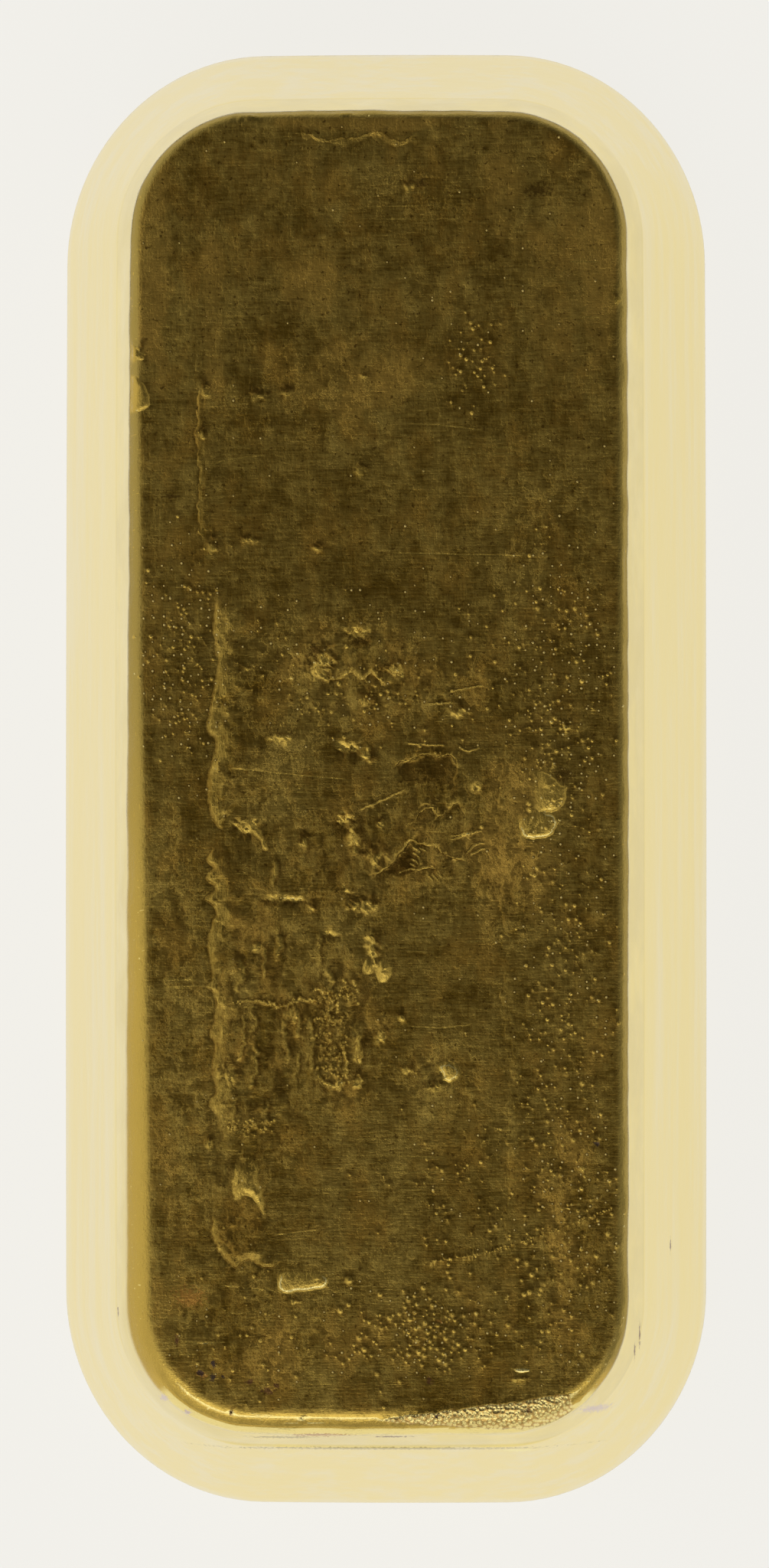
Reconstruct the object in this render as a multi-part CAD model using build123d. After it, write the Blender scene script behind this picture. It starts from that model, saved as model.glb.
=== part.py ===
"""Cast metal ingot: a thick open-mould bar lying on its wide pour face.

Frame: X across the bar, Y along it, Z up. The origin is on the surface that the
bar lies on, under the middle of its plan. All sizes are in millimetres and degrees.

The mould gave the bar its drafted walls, its large corners and the narrow face that
looks up. The pour left the wide face below, with a rounded rim and a shallow sink.
"""
from build123d import *
from math import cos, degrees, radians, sqrt, tan
import os

# Overall size of the casting, over the rounded rim of the pour face
length = 88.0
width = 39.0
height = 19.0

# Walls: draft is measured from the vertical, corner radii in plan
side_draft = 15.85
end_draft = 17.7
foot_corner_radius = 12.3
face_corner_radius = 6.9

# The mould's edges aren't quite straight: rise of each edge at its middle
end_bow = 0.30
side_bow = 0.10

# Chill line: the skin above it froze first and shrank a little from the mould
chill_line_depth = 3.6
chill_line_step = 0.08
chill_line_run = 0.16

# Rounding between the narrow face and each wall, uneven as the metal froze,
# and the number of bands that it is lofted in
left_shoulder_radius = 2.2
right_shoulder_radius = 0.95
front_shoulder_radius = 1.8
back_shoulder_radius = 0.8
shoulder_bands = 5

# Pour face: rounded rim, flat band that it rests on, shallow oval sink
rim_radius = 1.2
rest_band = 3.3
sink_depth = 0.5


def turn(draft):
    """Angle between the flat face's normal and a wall's normal."""
    return radians(90 - draft)


def foot_reach(overall, draft):
    """From the middle to the wall's sharp foot, so that the rounded rim spans overall."""
    return overall / 2 + rim_radius * (tan(radians(90 + draft) / 2) - 1)


def wall_reach(overall, draft, z):
    """From the middle to a wall at height z, with the chill step taken off above it."""
    chill_height = height - chill_line_depth
    step = chill_line_step * min(max((z - chill_height) / chill_line_run, 0), 1)
    return foot_reach(overall, draft) - z * tan(radians(draft)) - step


def shoulder_inset(radius, draft, depth):
    """How far the rounding lies inside the sharp wall, at a depth below the face."""
    if depth >= radius * (1 - cos(turn(draft))):
        return 0.0
    round_reach = sqrt(radius**2 - (radius - depth) ** 2)
    centre_inset = radius * tan(turn(draft) / 2)
    return centre_inset - round_reach + depth * tan(radians(draft))


def outline(depth):
    """Plan outline of the mould-made surface, at a depth below the narrow face."""
    z = height - depth
    left = shoulder_inset(left_shoulder_radius, side_draft, depth)
    right = shoulder_inset(right_shoulder_radius, side_draft, depth)
    front = shoulder_inset(front_shoulder_radius, end_draft, depth)
    back = shoulder_inset(back_shoulder_radius, end_draft, depth)
    reach_x = wall_reach(width, side_draft, z) - side_bow
    reach_y = wall_reach(length, end_draft, z) - end_bow
    x0 = left - reach_x
    x1 = reach_x - right
    y0 = front - reach_y
    y1 = reach_y - back
    middle_x = (x0 + x1) / 2
    middle_y = (y0 + y1) / 2
    edges = [
        ThreePointArc((x0, y0), (middle_x, y0 - end_bow), (x1, y0)),
        ThreePointArc((x1, y0), (x1 + side_bow, middle_y), (x1, y1)),
        ThreePointArc((x1, y1), (middle_x, y1 + end_bow), (x0, y1)),
        ThreePointArc((x0, y1), (x0 - side_bow, middle_y), (x0, y0)),
    ]
    face = make_face(Curve() + edges).face()
    rise = z / height
    corner = foot_corner_radius + (face_corner_radius - foot_corner_radius) * rise
    corners = [
        ((x0, y0), (left + front) / 2),
        ((x1, y0), (right + front) / 2),
        ((x1, y1), (right + back) / 2),
        ((x0, y1), (left + back) / 2),
    ]
    for (x, y), inset in corners:
        vertex = face.vertices().sort_by_distance((x, y, 0))[0]
        face = face.fillet_2d(corner - inset, [vertex])
    return Pos(0, 0, z) * face


def mould_body():
    """Drafted walls with the chill step, and the uneven shoulder above them."""
    largest = max(left_shoulder_radius, right_shoulder_radius,
                  front_shoulder_radius, back_shoulder_radius)
    full_turn = turn(min(side_draft, end_draft))
    depths = [
        largest * (1 - cos(full_turn * step / shoulder_bands))
        for step in range(shoulder_bands + 1)
    ]
    wall_depths = [height, chill_line_depth, chill_line_depth - chill_line_run, depths[-1]]
    walls = loft([outline(depth) for depth in wall_depths], ruled=True)
    shoulder = loft([outline(depth) for depth in reversed(depths)], ruled=True)
    return walls + shoulder


def arc_radius(chord, rise):
    """Radius of the arc that rises this much over this chord."""
    return (chord**2 / 4 + rise**2) / (2 * rise)


def sink_cutter():
    """Shallow oval sink of the pour face: a lens section carried along a long arc."""
    sink_width = width - 2 * (rim_radius + rest_band)
    sink_length = length - 2 * (rim_radius + rest_band)
    across_radius = arc_radius(sink_width, sink_depth)
    along_radius = arc_radius(sink_length, sink_depth)
    drop = across_radius - sqrt(across_radius**2 - sink_width**2)
    left_end = (-sink_width, 0, sink_depth - drop)
    right_end = (sink_width, 0, sink_depth - drop)
    crown = ThreePointArc(left_end, (0, 0, sink_depth), right_end)
    section = make_face(Curve() + [crown, Line(right_end, left_end)])
    sweep_angle = degrees(2 * sink_length / along_radius)
    axis = Axis((0, 0, sink_depth - along_radius), (1, 0, 0))
    return revolve(section.rotate(axis, -sweep_angle / 2), axis, sweep_angle)


def ingot():
    """The whole casting, with its rounded pour rim and its sink."""
    body = mould_body()
    rim = body.edges().group_by(Axis.Z)[0]
    return fillet(rim, rim_radius) - sink_cutter()


os.makedirs("parts", exist_ok=True)
export_step(ingot(), "parts/ingot.step")
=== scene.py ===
"""Cast gold bar: its skin, its finish and the studio it is shown in.

Laid out as an add-on and run as a script. Settings are in metres and radians. The shape maths
works in millimetres in the frame's axes: X across the bar, Y along it, Z up. Marks on the
narrow face are placed from the middle of that face.
"""

import math

import bpy
import numpy as np
from bpy.props import FloatProperty, FloatVectorProperty, IntProperty, PointerProperty
from mathutils import Matrix, Vector, geometry, noise


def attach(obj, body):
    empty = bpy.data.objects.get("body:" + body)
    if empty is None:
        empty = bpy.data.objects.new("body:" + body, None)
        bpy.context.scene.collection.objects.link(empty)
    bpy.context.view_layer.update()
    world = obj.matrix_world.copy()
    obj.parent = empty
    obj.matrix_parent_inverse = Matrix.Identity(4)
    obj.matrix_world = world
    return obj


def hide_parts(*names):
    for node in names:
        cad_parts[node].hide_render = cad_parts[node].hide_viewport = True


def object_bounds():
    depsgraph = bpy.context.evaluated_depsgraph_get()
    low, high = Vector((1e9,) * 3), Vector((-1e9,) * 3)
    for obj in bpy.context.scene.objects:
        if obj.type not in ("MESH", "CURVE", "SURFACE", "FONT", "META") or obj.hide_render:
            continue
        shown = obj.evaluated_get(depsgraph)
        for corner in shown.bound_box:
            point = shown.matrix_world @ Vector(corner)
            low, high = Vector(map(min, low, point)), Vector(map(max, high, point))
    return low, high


bl_info = {
    "name": "Cast ingot",
    "version": (1, 0, 0),
    "blender": (4, 5, 0),
    "location": "3D View > Sidebar > Ingot",
    "description": "Builds the skin of a cast gold bar and the studio it is shown in",
    "category": "Object",
}

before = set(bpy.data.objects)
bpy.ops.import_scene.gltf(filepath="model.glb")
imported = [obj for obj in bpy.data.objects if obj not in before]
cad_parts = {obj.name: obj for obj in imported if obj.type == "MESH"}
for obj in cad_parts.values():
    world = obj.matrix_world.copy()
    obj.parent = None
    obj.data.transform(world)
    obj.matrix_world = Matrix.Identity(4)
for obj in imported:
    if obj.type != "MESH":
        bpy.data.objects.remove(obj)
CAD_LOW, CAD_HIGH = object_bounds()
MM = 0.001
RIGHT_ANGLE = math.pi / 2


# Settings

def millimetres(name, value, description):
    """A length setting, given here in millimetres."""
    return FloatProperty(name=name, description=description, default=value * MM,
                         unit="LENGTH", precision=5)


def degrees(name, value, description):
    """An angle setting, given here in degrees."""
    return FloatProperty(name=name, description=description, default=math.radians(value),
                         subtype="ANGLE")


def share(name, value, description):
    """A setting from nought to one."""
    return FloatProperty(name=name, description=description, default=value, min=0, max=1)


def colour(name, value, description):
    """A linear colour setting."""
    return FloatVectorProperty(name=name, description=description, default=value, size=3,
                               subtype="COLOR", min=0, max=1)


class BarSettings(bpy.types.PropertyGroup):
    """Sizes of the bar's plain form."""

    length: millimetres("Length", (CAD_HIGH.y - CAD_LOW.y) / MM, "Over the pour rim")
    width: millimetres("Width", (CAD_HIGH.x - CAD_LOW.x) / MM, "Over the pour rim")
    height: millimetres("Height", (CAD_HIGH.z - CAD_LOW.z) / MM, "To the highest mark")
    head_room: millimetres("Head room", 0.22, "From the plain face up to the highest mark")
    side_room: millimetres("Side room", 0.04, "From the plain walls out to the frame's walls")
    side_draft: degrees("Side draft", 15.85, "Lean of the long walls")
    end_draft: degrees("End draft", 17.7, "Lean of the end walls")
    corner: millimetres("Corner radius", 6.9, "In plan, where the walls meet the face's plane")
    side_bow: millimetres("Side bow", 0.1, "Rise of a long edge at its middle")
    end_bow: millimetres("End bow", 0.3, "Rise of an end edge at its middle")
    left_back: millimetres("Left shoulder, back", 0.85, "Its radius at the bar's back end")
    left_front: millimetres("Left shoulder, front", 2.2, "Its radius at the bar's front end")
    right: millimetres("Right shoulder", 0.95, "Its radius")
    front: millimetres("Front shoulder", 1.8, "Its radius")
    back: millimetres("Back shoulder", 0.8, "Its radius")
    chill_depth: millimetres("Chill line depth", 3.6, "From the face down to the line")
    chill_step: millimetres("Chill line step", 0.08, "How far the skin steps in above it")
    rim: millimetres("Pour rim radius", 1.2, "Rounding of the wide face's edge")
    rest_band: millimetres("Rest band", 3.3, "Flat band between the rim and the sink")
    sink: millimetres("Sink", 0.5, "Depth of the sink in the wide face")


class SkinSettings(bpy.types.PropertyGroup):
    """How finely the skin is made, and how much its marks stand out."""

    face_grid: millimetres("Face grid", 0.3, "Spacing of points on the smooth face")
    rough_grid: millimetres("Rough grid", 0.19, "Spacing of points in the rough zones")
    ring_grid: millimetres("Ring grid", 0.42, "Spacing of points round the walls")
    pour_grid: millimetres("Pour face grid", 0.7, "Spacing of points on the wide face")
    swell: millimetres("Swell", 0.05, "Height of the face's slow undulation")
    seed: IntProperty(name="Seed", description="Sets where the small beads fall", default=7)


class FinishSettings(bpy.types.PropertyGroup):
    """Colours and gloss of the gold."""

    clean: colour("Clean gold", (0.92, 0.755, 0.29), "Smooth metal that the mould left bright")
    skin: colour("Cast skin", (0.46, 0.315, 0.067), "Brushed, slightly tarnished face")
    deep: colour("Deep skin", (0.175, 0.102, 0.013), "Darkest patches of the face")
    warm: colour("Warm skin", (0.43, 0.245, 0.04), "Reddish patches of the face")
    tan: colour("Tan skin", (0.58, 0.36, 0.07), "Smooth, lighter patches of the face")
    shoulder: colour("Shoulder", (0.39, 0.28, 0.068), "Rounded edge round the face")
    # Colours painted shade in creases, recesses and the unlit sides of marks, and dirt in random
    # pits
    dirt: colour("Dirt", (0.10, 0.052, 0.008), "Crevices and pits of the face")
    lip: colour("Lip", (0.60, 0.405, 0.078), "Rounded edges and scuffs of the face's marks")
    strip: colour("Strip", (0.82, 0.675, 0.28), "Dulled metal above the chill line")
    bead: colour("Bead", (0.93, 0.73, 0.26), "Tops of the small beads")
    dross: colour("Dross", (0.58, 0.38, 0.11), "Between the grains of the dross line")
    dull: colour("Dull gold", (0.90, 0.77, 0.40), "Faint smears on the walls")
    clean_roughness: share("Clean roughness", 0.17, "Of the bright walls")
    skin_roughness: share("Skin roughness", 0.34, "Of the brushed face")


class StudioSettings(bpy.types.PropertyGroup):
    """Camera, lamps and floor."""

    camera_gap: millimetres("Camera gap", 382.0, "From the narrow face up to the lens")
    camera_x: millimetres("Camera across", 10.2, "Where the camera hangs")
    camera_y: millimetres("Camera along", -9.8, "Where the camera hangs")
    aim_x: millimetres("Aim across", 0.38, "Point of the face in the picture's middle")
    aim_y: millimetres("Aim along", -0.84, "Point of the face in the picture's middle")
    picture_height: millimetres("Picture height", 90.9, "Span of the face's plane in view")
    floor: colour("Floor", (0.955, 0.94, 0.895), "Pale surface under the bar")
    floor_glow: share("Floor glow", 0.85, "How much of the floor's colour is independent of light")
    low_sky: FloatProperty(name="Low sky", description="Level round the sides", default=0.72)
    high_sky: FloatProperty(name="High sky", description="Level overhead", default=0.12)
    flag: share("Flag", 0.72, "How much of the sky's light a dark flag at the back holds off")
    lamp: FloatProperty(name="Lamp", description="Power of the front lamp in watts", default=1.1)


# Shape helpers

def smoothstep(low, high, value):
    """0 below low, 1 above high, and an even blend between."""
    t = np.clip((value - low) / (high - low), 0, 1)
    return t * t * (3 - 2 * t)


def fractal(x, y, scale, octaves=3, seed=0.0):
    """Smooth noise of about -1 to 1 at points in the plan, with features of this scale."""
    offset = 13.7 * seed
    return np.array([
        noise.fractal((px / scale + offset, py / scale - offset, offset), 0.6, 2.0, octaves)
        for px, py in zip(x, y)
    ])


def spline(points, spacing, closed=False):
    """Points evenly spread along a smooth curve through given ones."""
    pts = np.asarray(points, float)
    count = len(pts)
    spans = range(count if closed else count - 1)
    curve = []
    for i in spans:
        before = pts[(i - 1) % count] if closed or i > 0 else 2 * pts[0] - pts[1]
        start = pts[i]
        end = pts[(i + 1) % count]
        last = i + 2 >= count and not closed
        after = 2 * pts[-1] - pts[-2] if last else pts[(i + 2) % count]
        steps = max(1, round(float(np.hypot(*(end - start))) / spacing))
        for t in np.arange(steps) / steps:
            curve.append(0.5 * (2 * start + (end - before) * t
                                + (2 * before - 5 * start + 4 * end - after) * t**2
                                + (3 * start - before - 3 * end + after) * t**3))
    if not closed:
        curve.append(pts[-1])
    return np.array(curve)


def path_normals(path, closed=False):
    """Unit normals to the left of a path."""
    if closed:
        run = np.roll(path, -1, axis=0) - np.roll(path, 1, axis=0)
    else:
        run = np.gradient(path, axis=0)
    run /= np.maximum(np.hypot(run[:, 0], run[:, 1]), 1e-9)[:, None]
    return np.stack([-run[:, 1], run[:, 0]], axis=1)


def ragged(path, amount, scale, seed, closed=False):
    """A path pushed sideways by noise, as a frozen edge is."""
    push = fractal(path[:, 0], path[:, 1], scale, 3, seed) * amount
    return path + path_normals(path, closed) * push[:, None]


def nearest(x, y, path, closed=False):
    """Gap to a path, the side of it (left is positive), and the share of its length."""
    start = path if closed else path[:-1]
    run = (np.roll(path, -1, axis=0) if closed else path[1:]) - start
    from_x = x[:, None] - start[None, :, 0]
    from_y = y[:, None] - start[None, :, 1]
    reach = np.maximum((run**2).sum(1), 1e-12)
    t = np.clip((from_x * run[:, 0] + from_y * run[:, 1]) / reach, 0, 1)
    gap = np.hypot(from_x - t * run[:, 0], from_y - t * run[:, 1])
    best = gap.argmin(1)
    row = np.arange(len(x))
    cross = run[best, 0] * from_y[row, best] - run[best, 1] * from_x[row, best]
    return gap[row, best], np.sign(cross), (best + t[row, best]) / len(start)


def inside(x, y, outline):
    """True where points lie inside a closed outline."""
    x0, y0 = outline[:, 0], outline[:, 1]
    x1, y1 = np.roll(x0, -1), np.roll(y0, -1)
    straddles = (y0 > y[:, None]) != (y1 > y[:, None])
    rise = np.where(np.abs(y1 - y0) < 1e-12, 1e-12, y1 - y0)
    crossing = (x1 - x0) * (y[:, None] - y0) / rise + x0
    return ((straddles & (x[:, None] < crossing)).sum(1) % 2) == 1


# The bar's plain form

class Form:
    """The plain form as a height over the plan, worked out from the settings."""

    def __init__(self, bar):
        self.side_draft = bar.side_draft
        self.end_draft = bar.end_draft
        for name in ("width", "length", "height", "head_room", "side_room", "corner", "side_bow",
                     "end_bow", "left_back", "left_front", "right", "front", "back",
                     "chill_depth", "chill_step", "rim", "rest_band", "sink"):
            setattr(self, name, getattr(bar, name) / MM)
        self.face_z = self.height - self.head_room
        half_width = self.width / 2 - self.side_room
        half_length = self.length / 2 - self.side_room
        self.half_x = self.reach(half_width, self.side_draft) - self.side_bow
        self.half_y = self.reach(half_length, self.end_draft) - self.end_bow

    def reach(self, half, draft):
        """From the middle out to a wall's sharp top edge, from the rounded rim's half span."""
        foot = half + self.rim * (math.tan((RIGHT_ANGLE + draft) / 2) - 1)
        return foot - self.face_z * math.tan(draft) - self.chill_step

    def stations(self, spacing):
        """Points and outward normals round the sharp edge of the narrow face."""
        centre_x = self.half_x - self.corner
        centre_y = self.half_y - self.corner
        across = max(2, round(2 * centre_x / spacing))
        along = max(2, round(2 * centre_y / spacing))
        round_steps = max(2, round(self.corner * RIGHT_ANGLE / spacing))
        points, normals = [], []
        for quarter in range(4):
            angle = quarter * RIGHT_ANGLE - RIGHT_ANGLE
            out = np.array([math.cos(angle), math.sin(angle)])
            forth = np.array([-out[1], out[0]])
            half_out = abs(out @ [self.half_x, self.half_y])
            half_run = abs(forth @ [centre_x, centre_y])
            steps = across if quarter % 2 == 0 else along
            for t in np.arange(steps) / steps:
                points.append(out * half_out + forth * half_run * (2 * t - 1))
                normals.append(out)
            middle = out * (half_out - self.corner) + forth * half_run
            for t in np.arange(round_steps) / round_steps:
                turn = t * RIGHT_ANGLE
                direction = out * math.cos(turn) + forth * math.sin(turn)
                points.append(middle + direction * self.corner)
                normals.append(direction)
        return np.array(points), np.array(normals)

    def shoulder(self, y, normals):
        """Shoulder radius and draft at places on the edge, blended round the corners."""
        side = normals[:, 0]**2
        back_share = smoothstep(-self.half_y, self.half_y, y)
        left = self.left_front + (self.left_back - self.left_front) * back_share
        radius = (np.where(normals[:, 0] < 0, left, self.right) * side
                  + np.where(normals[:, 1] < 0, self.front, self.back) * (1 - side))
        draft = self.side_draft * side + self.end_draft * (1 - side)
        return radius, draft

    def bow(self, x, y, extra=0.0):
        """Moves plan points outward to the bowed edges; extra is how far the walls spread."""
        u = x / (self.half_x + extra)
        v = y / (self.half_y + extra)
        return x + self.side_bow * (1 - v**2) * u, y + self.end_bow * (1 - u**2) * v

    def edge_places(self, x, y):
        """For plan points: inset from the sharp edge, and the outward normal there."""
        u = x / self.half_x
        v = y / self.half_y
        flat_x = x - self.side_bow * (1 - v**2) * u
        flat_y = y - self.end_bow * (1 - u**2) * v
        qx = np.abs(flat_x) - (self.half_x - self.corner)
        qy = np.abs(flat_y) - (self.half_y - self.corner)
        in_corner = (qx > 0) & (qy > 0)
        span = np.maximum(np.hypot(qx, qy), 1e-9)
        side_first = qx > qy
        nx = np.where(in_corner, qx / span, np.where(side_first, 1.0, 0.0))
        ny = np.where(in_corner, qy / span, np.where(side_first, 0.0, 1.0))
        out = np.where(in_corner, span, np.maximum(qx, qy)) - self.corner
        normals = np.stack([nx * np.sign(flat_x), ny * np.sign(flat_y)], axis=1)
        return -out, normals

    def drop(self, outward, radius, draft):
        """Depth and tilt of the surface at a plan distance outside the flat face."""
        turn = RIGHT_ANGLE - draft
        tangent = radius * np.sin(turn)
        on_round = np.clip(outward, 0, tangent)
        round_drop = radius - np.sqrt(np.maximum(radius**2 - on_round**2, 0))
        wall_drop = np.maximum(outward - tangent, 0) / np.tan(draft)
        tilt = np.where(outward >= tangent, turn, np.arcsin(np.clip(on_round / radius, 0, 1)))
        return round_drop + wall_drop, tilt

    def top(self, x, y):
        """Height, normal and plan distance outside the flat face, for plan points."""
        inset, normals = self.edge_places(x, y)
        radius, draft = self.shoulder(y, normals)
        outward = radius * np.tan((RIGHT_ANGLE - draft) / 2) - inset
        depth, tilt = self.drop(outward, radius, draft)
        up = np.cos(tilt)
        lean = np.sin(tilt)
        surface = np.stack([normals[:, 0] * lean, normals[:, 1] * lean, up], axis=1)
        return self.face_z - depth, surface, outward


# Shares kept with the mesh for its finish, and for the painted light and shade laid into it
SHARES = ("face", "shoulder", "strip", "clean", "grit", "crust", "dross", "dirt", "speckle",
          "strand", "tan")


# Marks on the narrow face: each gives sample points, then presses itself into the skin

class Skin:
    """Sample points of the top skin with their rise and finish, which marks add to."""

    def __init__(self, x, y):
        self.x, self.y = x, y
        for name in ("rise", "clean", "grit", "crust", "dirt", "dross", "strand"):
            setattr(self, name, np.zeros(len(x)))

    def near(self, low, high):
        """Indices of the points in a box."""
        return np.nonzero((self.x > low[0]) & (self.x < high[0])
                          & (self.y > low[1]) & (self.y < high[1]))[0]

    def brighten(self, at, share_of_clean):
        """Makes these points at least this bright."""
        self.clean[at] = np.maximum(self.clean[at], share_of_clean)

    def darken(self, at, share_of_shade):
        """Paints these points at least this dark, with painted shade."""
        self.dirt[at] = np.maximum(self.dirt[at], share_of_shade)


def lip(depth, width):
    """Quarter-round profile: nought at the edge, one at this width in from it."""
    t = np.clip(depth / width, 0, 1)
    return np.sqrt(1 - (1 - t)**2)


class Bead:
    """A round drop of metal, or a pit where the rise is negative."""

    # Sample rings: their reach in radii, and how many points each has
    rings = ((0.5, 5), (0.92, 7), (1.3, 7))

    def __init__(self, x, y, radius, rise, clean=0.3):
        self.x, self.y = x, y
        self.radius, self.rise, self.clean = radius, rise, clean

    def samples(self):
        """Places where the skin needs points."""
        points = [(self.x, self.y)]
        for reach, count in self.rings:
            for i in range(count):
                angle = 2 * math.pi * (i + reach) / count
                points.append((self.x + self.radius * reach * math.cos(angle),
                               self.y + self.radius * reach * math.sin(angle)))
        return points

    def press(self, skin):
        """Adds the mark to the skin."""
        r = self.radius
        at = skin.near((self.x - 1.2 * r, self.y - 1.2 * r), (self.x + 1.2 * r, self.y + 1.2 * r))
        rho = np.hypot(skin.x[at] - self.x, skin.y[at] - self.y) / r
        dome = np.clip(1 - rho**2, 0, 1)
        skin.rise[at] += self.rise * dome**0.8
        skin.brighten(at, self.clean * np.sqrt(dome))
        # Painted shade round the bead's foot
        skin.darken(at, 0.5 * smoothstep(0.75, 1.0, rho))


class Sheet:
    """A thin sheet that froze over its neighbour: raised, with a rounded lip all round.

    The lip has a width, clean is its brightness and cover the sheet's, seam is painted shade in the
    crease round it and shade is painted shade over it, knobs make it lumpy, and soft eases the
    lip. A hinge is a place, a heading and a width: the sheet grows out of the face there.
    """

    # Sample rows, in lip widths in from the outline
    rows = (-0.15, 0.0, 0.12, 0.35, 0.7, 1.1)

    def __init__(self, outline, rise, width=0.25, rag=0.06, clean=0.3, grit=0.0, cover=0.0,
                 dross=0.0, shade=0.0, seam=0.6, knobs=0.0, hinge=None, soft=0.3, seed=1.0):
        smooth = spline(outline, 0.13, closed=True)
        self.outline = ragged(smooth, rag, 0.5, seed, closed=True)
        self.rise, self.width, self.hinge = rise, width, hinge
        self.clean, self.grit, self.cover, self.soft = clean, grit, cover, soft
        self.dross, self.shade, self.seam = dross, shade, seam
        self.knobs, self.seed = knobs, seed

    def samples(self):
        """Places where the skin needs points."""
        after = np.roll(self.outline, -1, axis=0)
        turn = (self.outline[:, 0] * after[:, 1] - self.outline[:, 1] * after[:, 0]).sum()
        inward = path_normals(self.outline, closed=True) * np.sign(turn)
        return np.concatenate([self.outline + inward * row * self.width for row in self.rows])

    def press(self, skin):
        """Adds the mark to the skin."""
        pad = self.width
        at = skin.near(self.outline.min(0) - pad, self.outline.max(0) + pad)
        x, y = skin.x[at], skin.y[at]
        gap = nearest(x, y, self.outline, closed=True)[0]
        depth = np.where(inside(x, y, self.outline), gap, -gap)
        weight = self.hinged(x, y)
        body = (self.soft * smoothstep(0, 1, depth / self.width)
                + (1 - self.soft) * lip(depth, self.width))
        if self.knobs:
            body = body * (1 + self.knobs * fractal(x, y, 0.35, 3, self.seed))
        skin.rise[at] += self.rise * body * weight
        rim = np.exp(-((depth / self.width - 0.35) / 0.45)**2) * weight
        within = smoothstep(-0.1, 0.3, depth / self.width) * weight
        skin.brighten(at, np.maximum(self.clean * rim, self.cover * within))
        skin.grit[at] = np.maximum(skin.grit[at], self.grit * within)
        skin.dross[at] = np.maximum(skin.dross[at], self.dross * within)
        # Painted shade: in the crease round the lip, and over the body where shade is set
        seam = self.seam * np.exp(-((depth / self.width + 0.2) / 0.22)**2)
        skin.darken(at, np.maximum(seam, self.shade * within) * weight)

    def hinged(self, x, y):
        """Share of the sheet's rise at each point, from nought behind the hinge."""
        if self.hinge is None:
            return np.ones(len(x))
        place_x, place_y, heading, width = self.hinge
        heading = math.radians(heading)
        ahead = (x - place_x) * math.cos(heading) + (y - place_y) * math.sin(heading)
        return smoothstep(0, width, ahead)


class Ledge:
    """An open step: the metal to the left of its path stands higher and eases back down.

    It rises over its width and eases back over its spread.
    """

    # Sample rows, in widths to the left of the path
    rows = (-0.3, -0.12, 0.0, 0.12, 0.3, 0.55, 0.8, 1.05, 1.4)

    def __init__(self, path, rise, width, spread, rag=0.08, clean=0.25, seam=0.5, seed=1.0):
        self.path = ragged(spline(path, 0.14), rag, 0.45, seed)
        uneven = fractal(self.path[:, 0], self.path[:, 1], 0.9, 4, seed + 5)
        self.widths = width * np.clip(1 + 0.8 * uneven, 0.4, 2.0)
        self.rise, self.width, self.spread, self.clean = rise, width, spread, clean
        self.seam, self.seed = seam, seed

    def samples(self):
        """Places where the skin needs points."""
        left = path_normals(self.path) * self.widths[:, None]
        return np.concatenate([self.path + left * row for row in self.rows])

    def press(self, skin):
        """Adds the mark to the skin."""
        pad = self.width * 1.6 + 3 * self.spread
        at = skin.near(self.path.min(0) - pad, self.path.max(0) + pad)
        gap, side, along = nearest(skin.x[at], skin.y[at], self.path)
        width = np.interp(along, np.linspace(0, 1, len(self.widths)), self.widths)
        depth = gap * side
        ends = smoothstep(0, 0.06, along) * smoothstep(1, 0.94, along)
        ease = np.exp(-np.maximum(depth - width, 0) / self.spread)
        slope = 0.3 * lip(depth, width * 0.25) + 0.7 * np.clip(depth / width, 0, 1)
        groove = 0.18 * np.exp(-((depth / width + 0.12) / 0.1)**2)
        torn = 1 + 0.75 * fractal(skin.x[at], skin.y[at] * 0.5, 0.35, 4, self.seed)
        skin.rise[at] += self.rise * (slope * ease * torn - groove) * ends
        frayed = depth / width + 0.5 * fractal(skin.x[at], skin.y[at] * 0.5, 0.5, 4, self.seed + 2)
        rim = smoothstep(-0.05, 0.1, depth / width) * smoothstep(1.4, 0.5, frayed) * ends
        rim = rim * np.clip(0.75 + 0.6 * fractal(skin.x[at], skin.y[at], 1.2, 3, self.seed), 0, 1)
        skin.brighten(at, self.clean * rim)
        skin.strand[at] = np.maximum(skin.strand[at], min(1, 3 * self.clean) * rim)
        # Painted shade in the crease at the foot of the step
        skin.darken(at, self.seam * np.exp(-((depth / width + 0.1) / 0.08)**2) * ends)


class Stroke:
    """A thin line: a scratch where the rise is negative, a torn seam where it is positive.

    It paints shade on the metal to the left of its path, as a shadow beside the line.
    """

    # Sample rows, in half widths to the left of the path
    rows = (-1.8, -1.0, 0.0, 1.0, 1.8)

    def __init__(self, path, half_width, rise, rag=0.0, clean=0.5, shade=0.0, seed=1.0):
        smooth = spline(path, 0.12 if rag else 0.3)
        self.path = ragged(smooth, rag, 0.35, seed) if rag else smooth
        self.half_width, self.rise, self.clean, self.shade = half_width, rise, clean, shade

    def samples(self):
        """Places where the skin needs points."""
        left = path_normals(self.path)
        return np.concatenate([self.path + left * row * self.half_width for row in self.rows])

    def press(self, skin):
        """Adds the mark to the skin."""
        pad = self.half_width * 3
        at = skin.near(self.path.min(0) - pad, self.path.max(0) + pad)
        gap, side, along = nearest(skin.x[at], skin.y[at], self.path)
        ends = smoothstep(0, 0.12, along) * smoothstep(1, 0.88, along)
        body = np.clip(1 - gap / self.half_width, 0, 1) * ends
        skin.rise[at] += self.rise * body
        skin.brighten(at, self.clean * body)
        # Painted shadow beside the line
        beside = np.exp(-((gap * side / self.half_width - 1.2) / 0.6)**2)
        skin.darken(at, self.shade * beside * ends)


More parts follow.
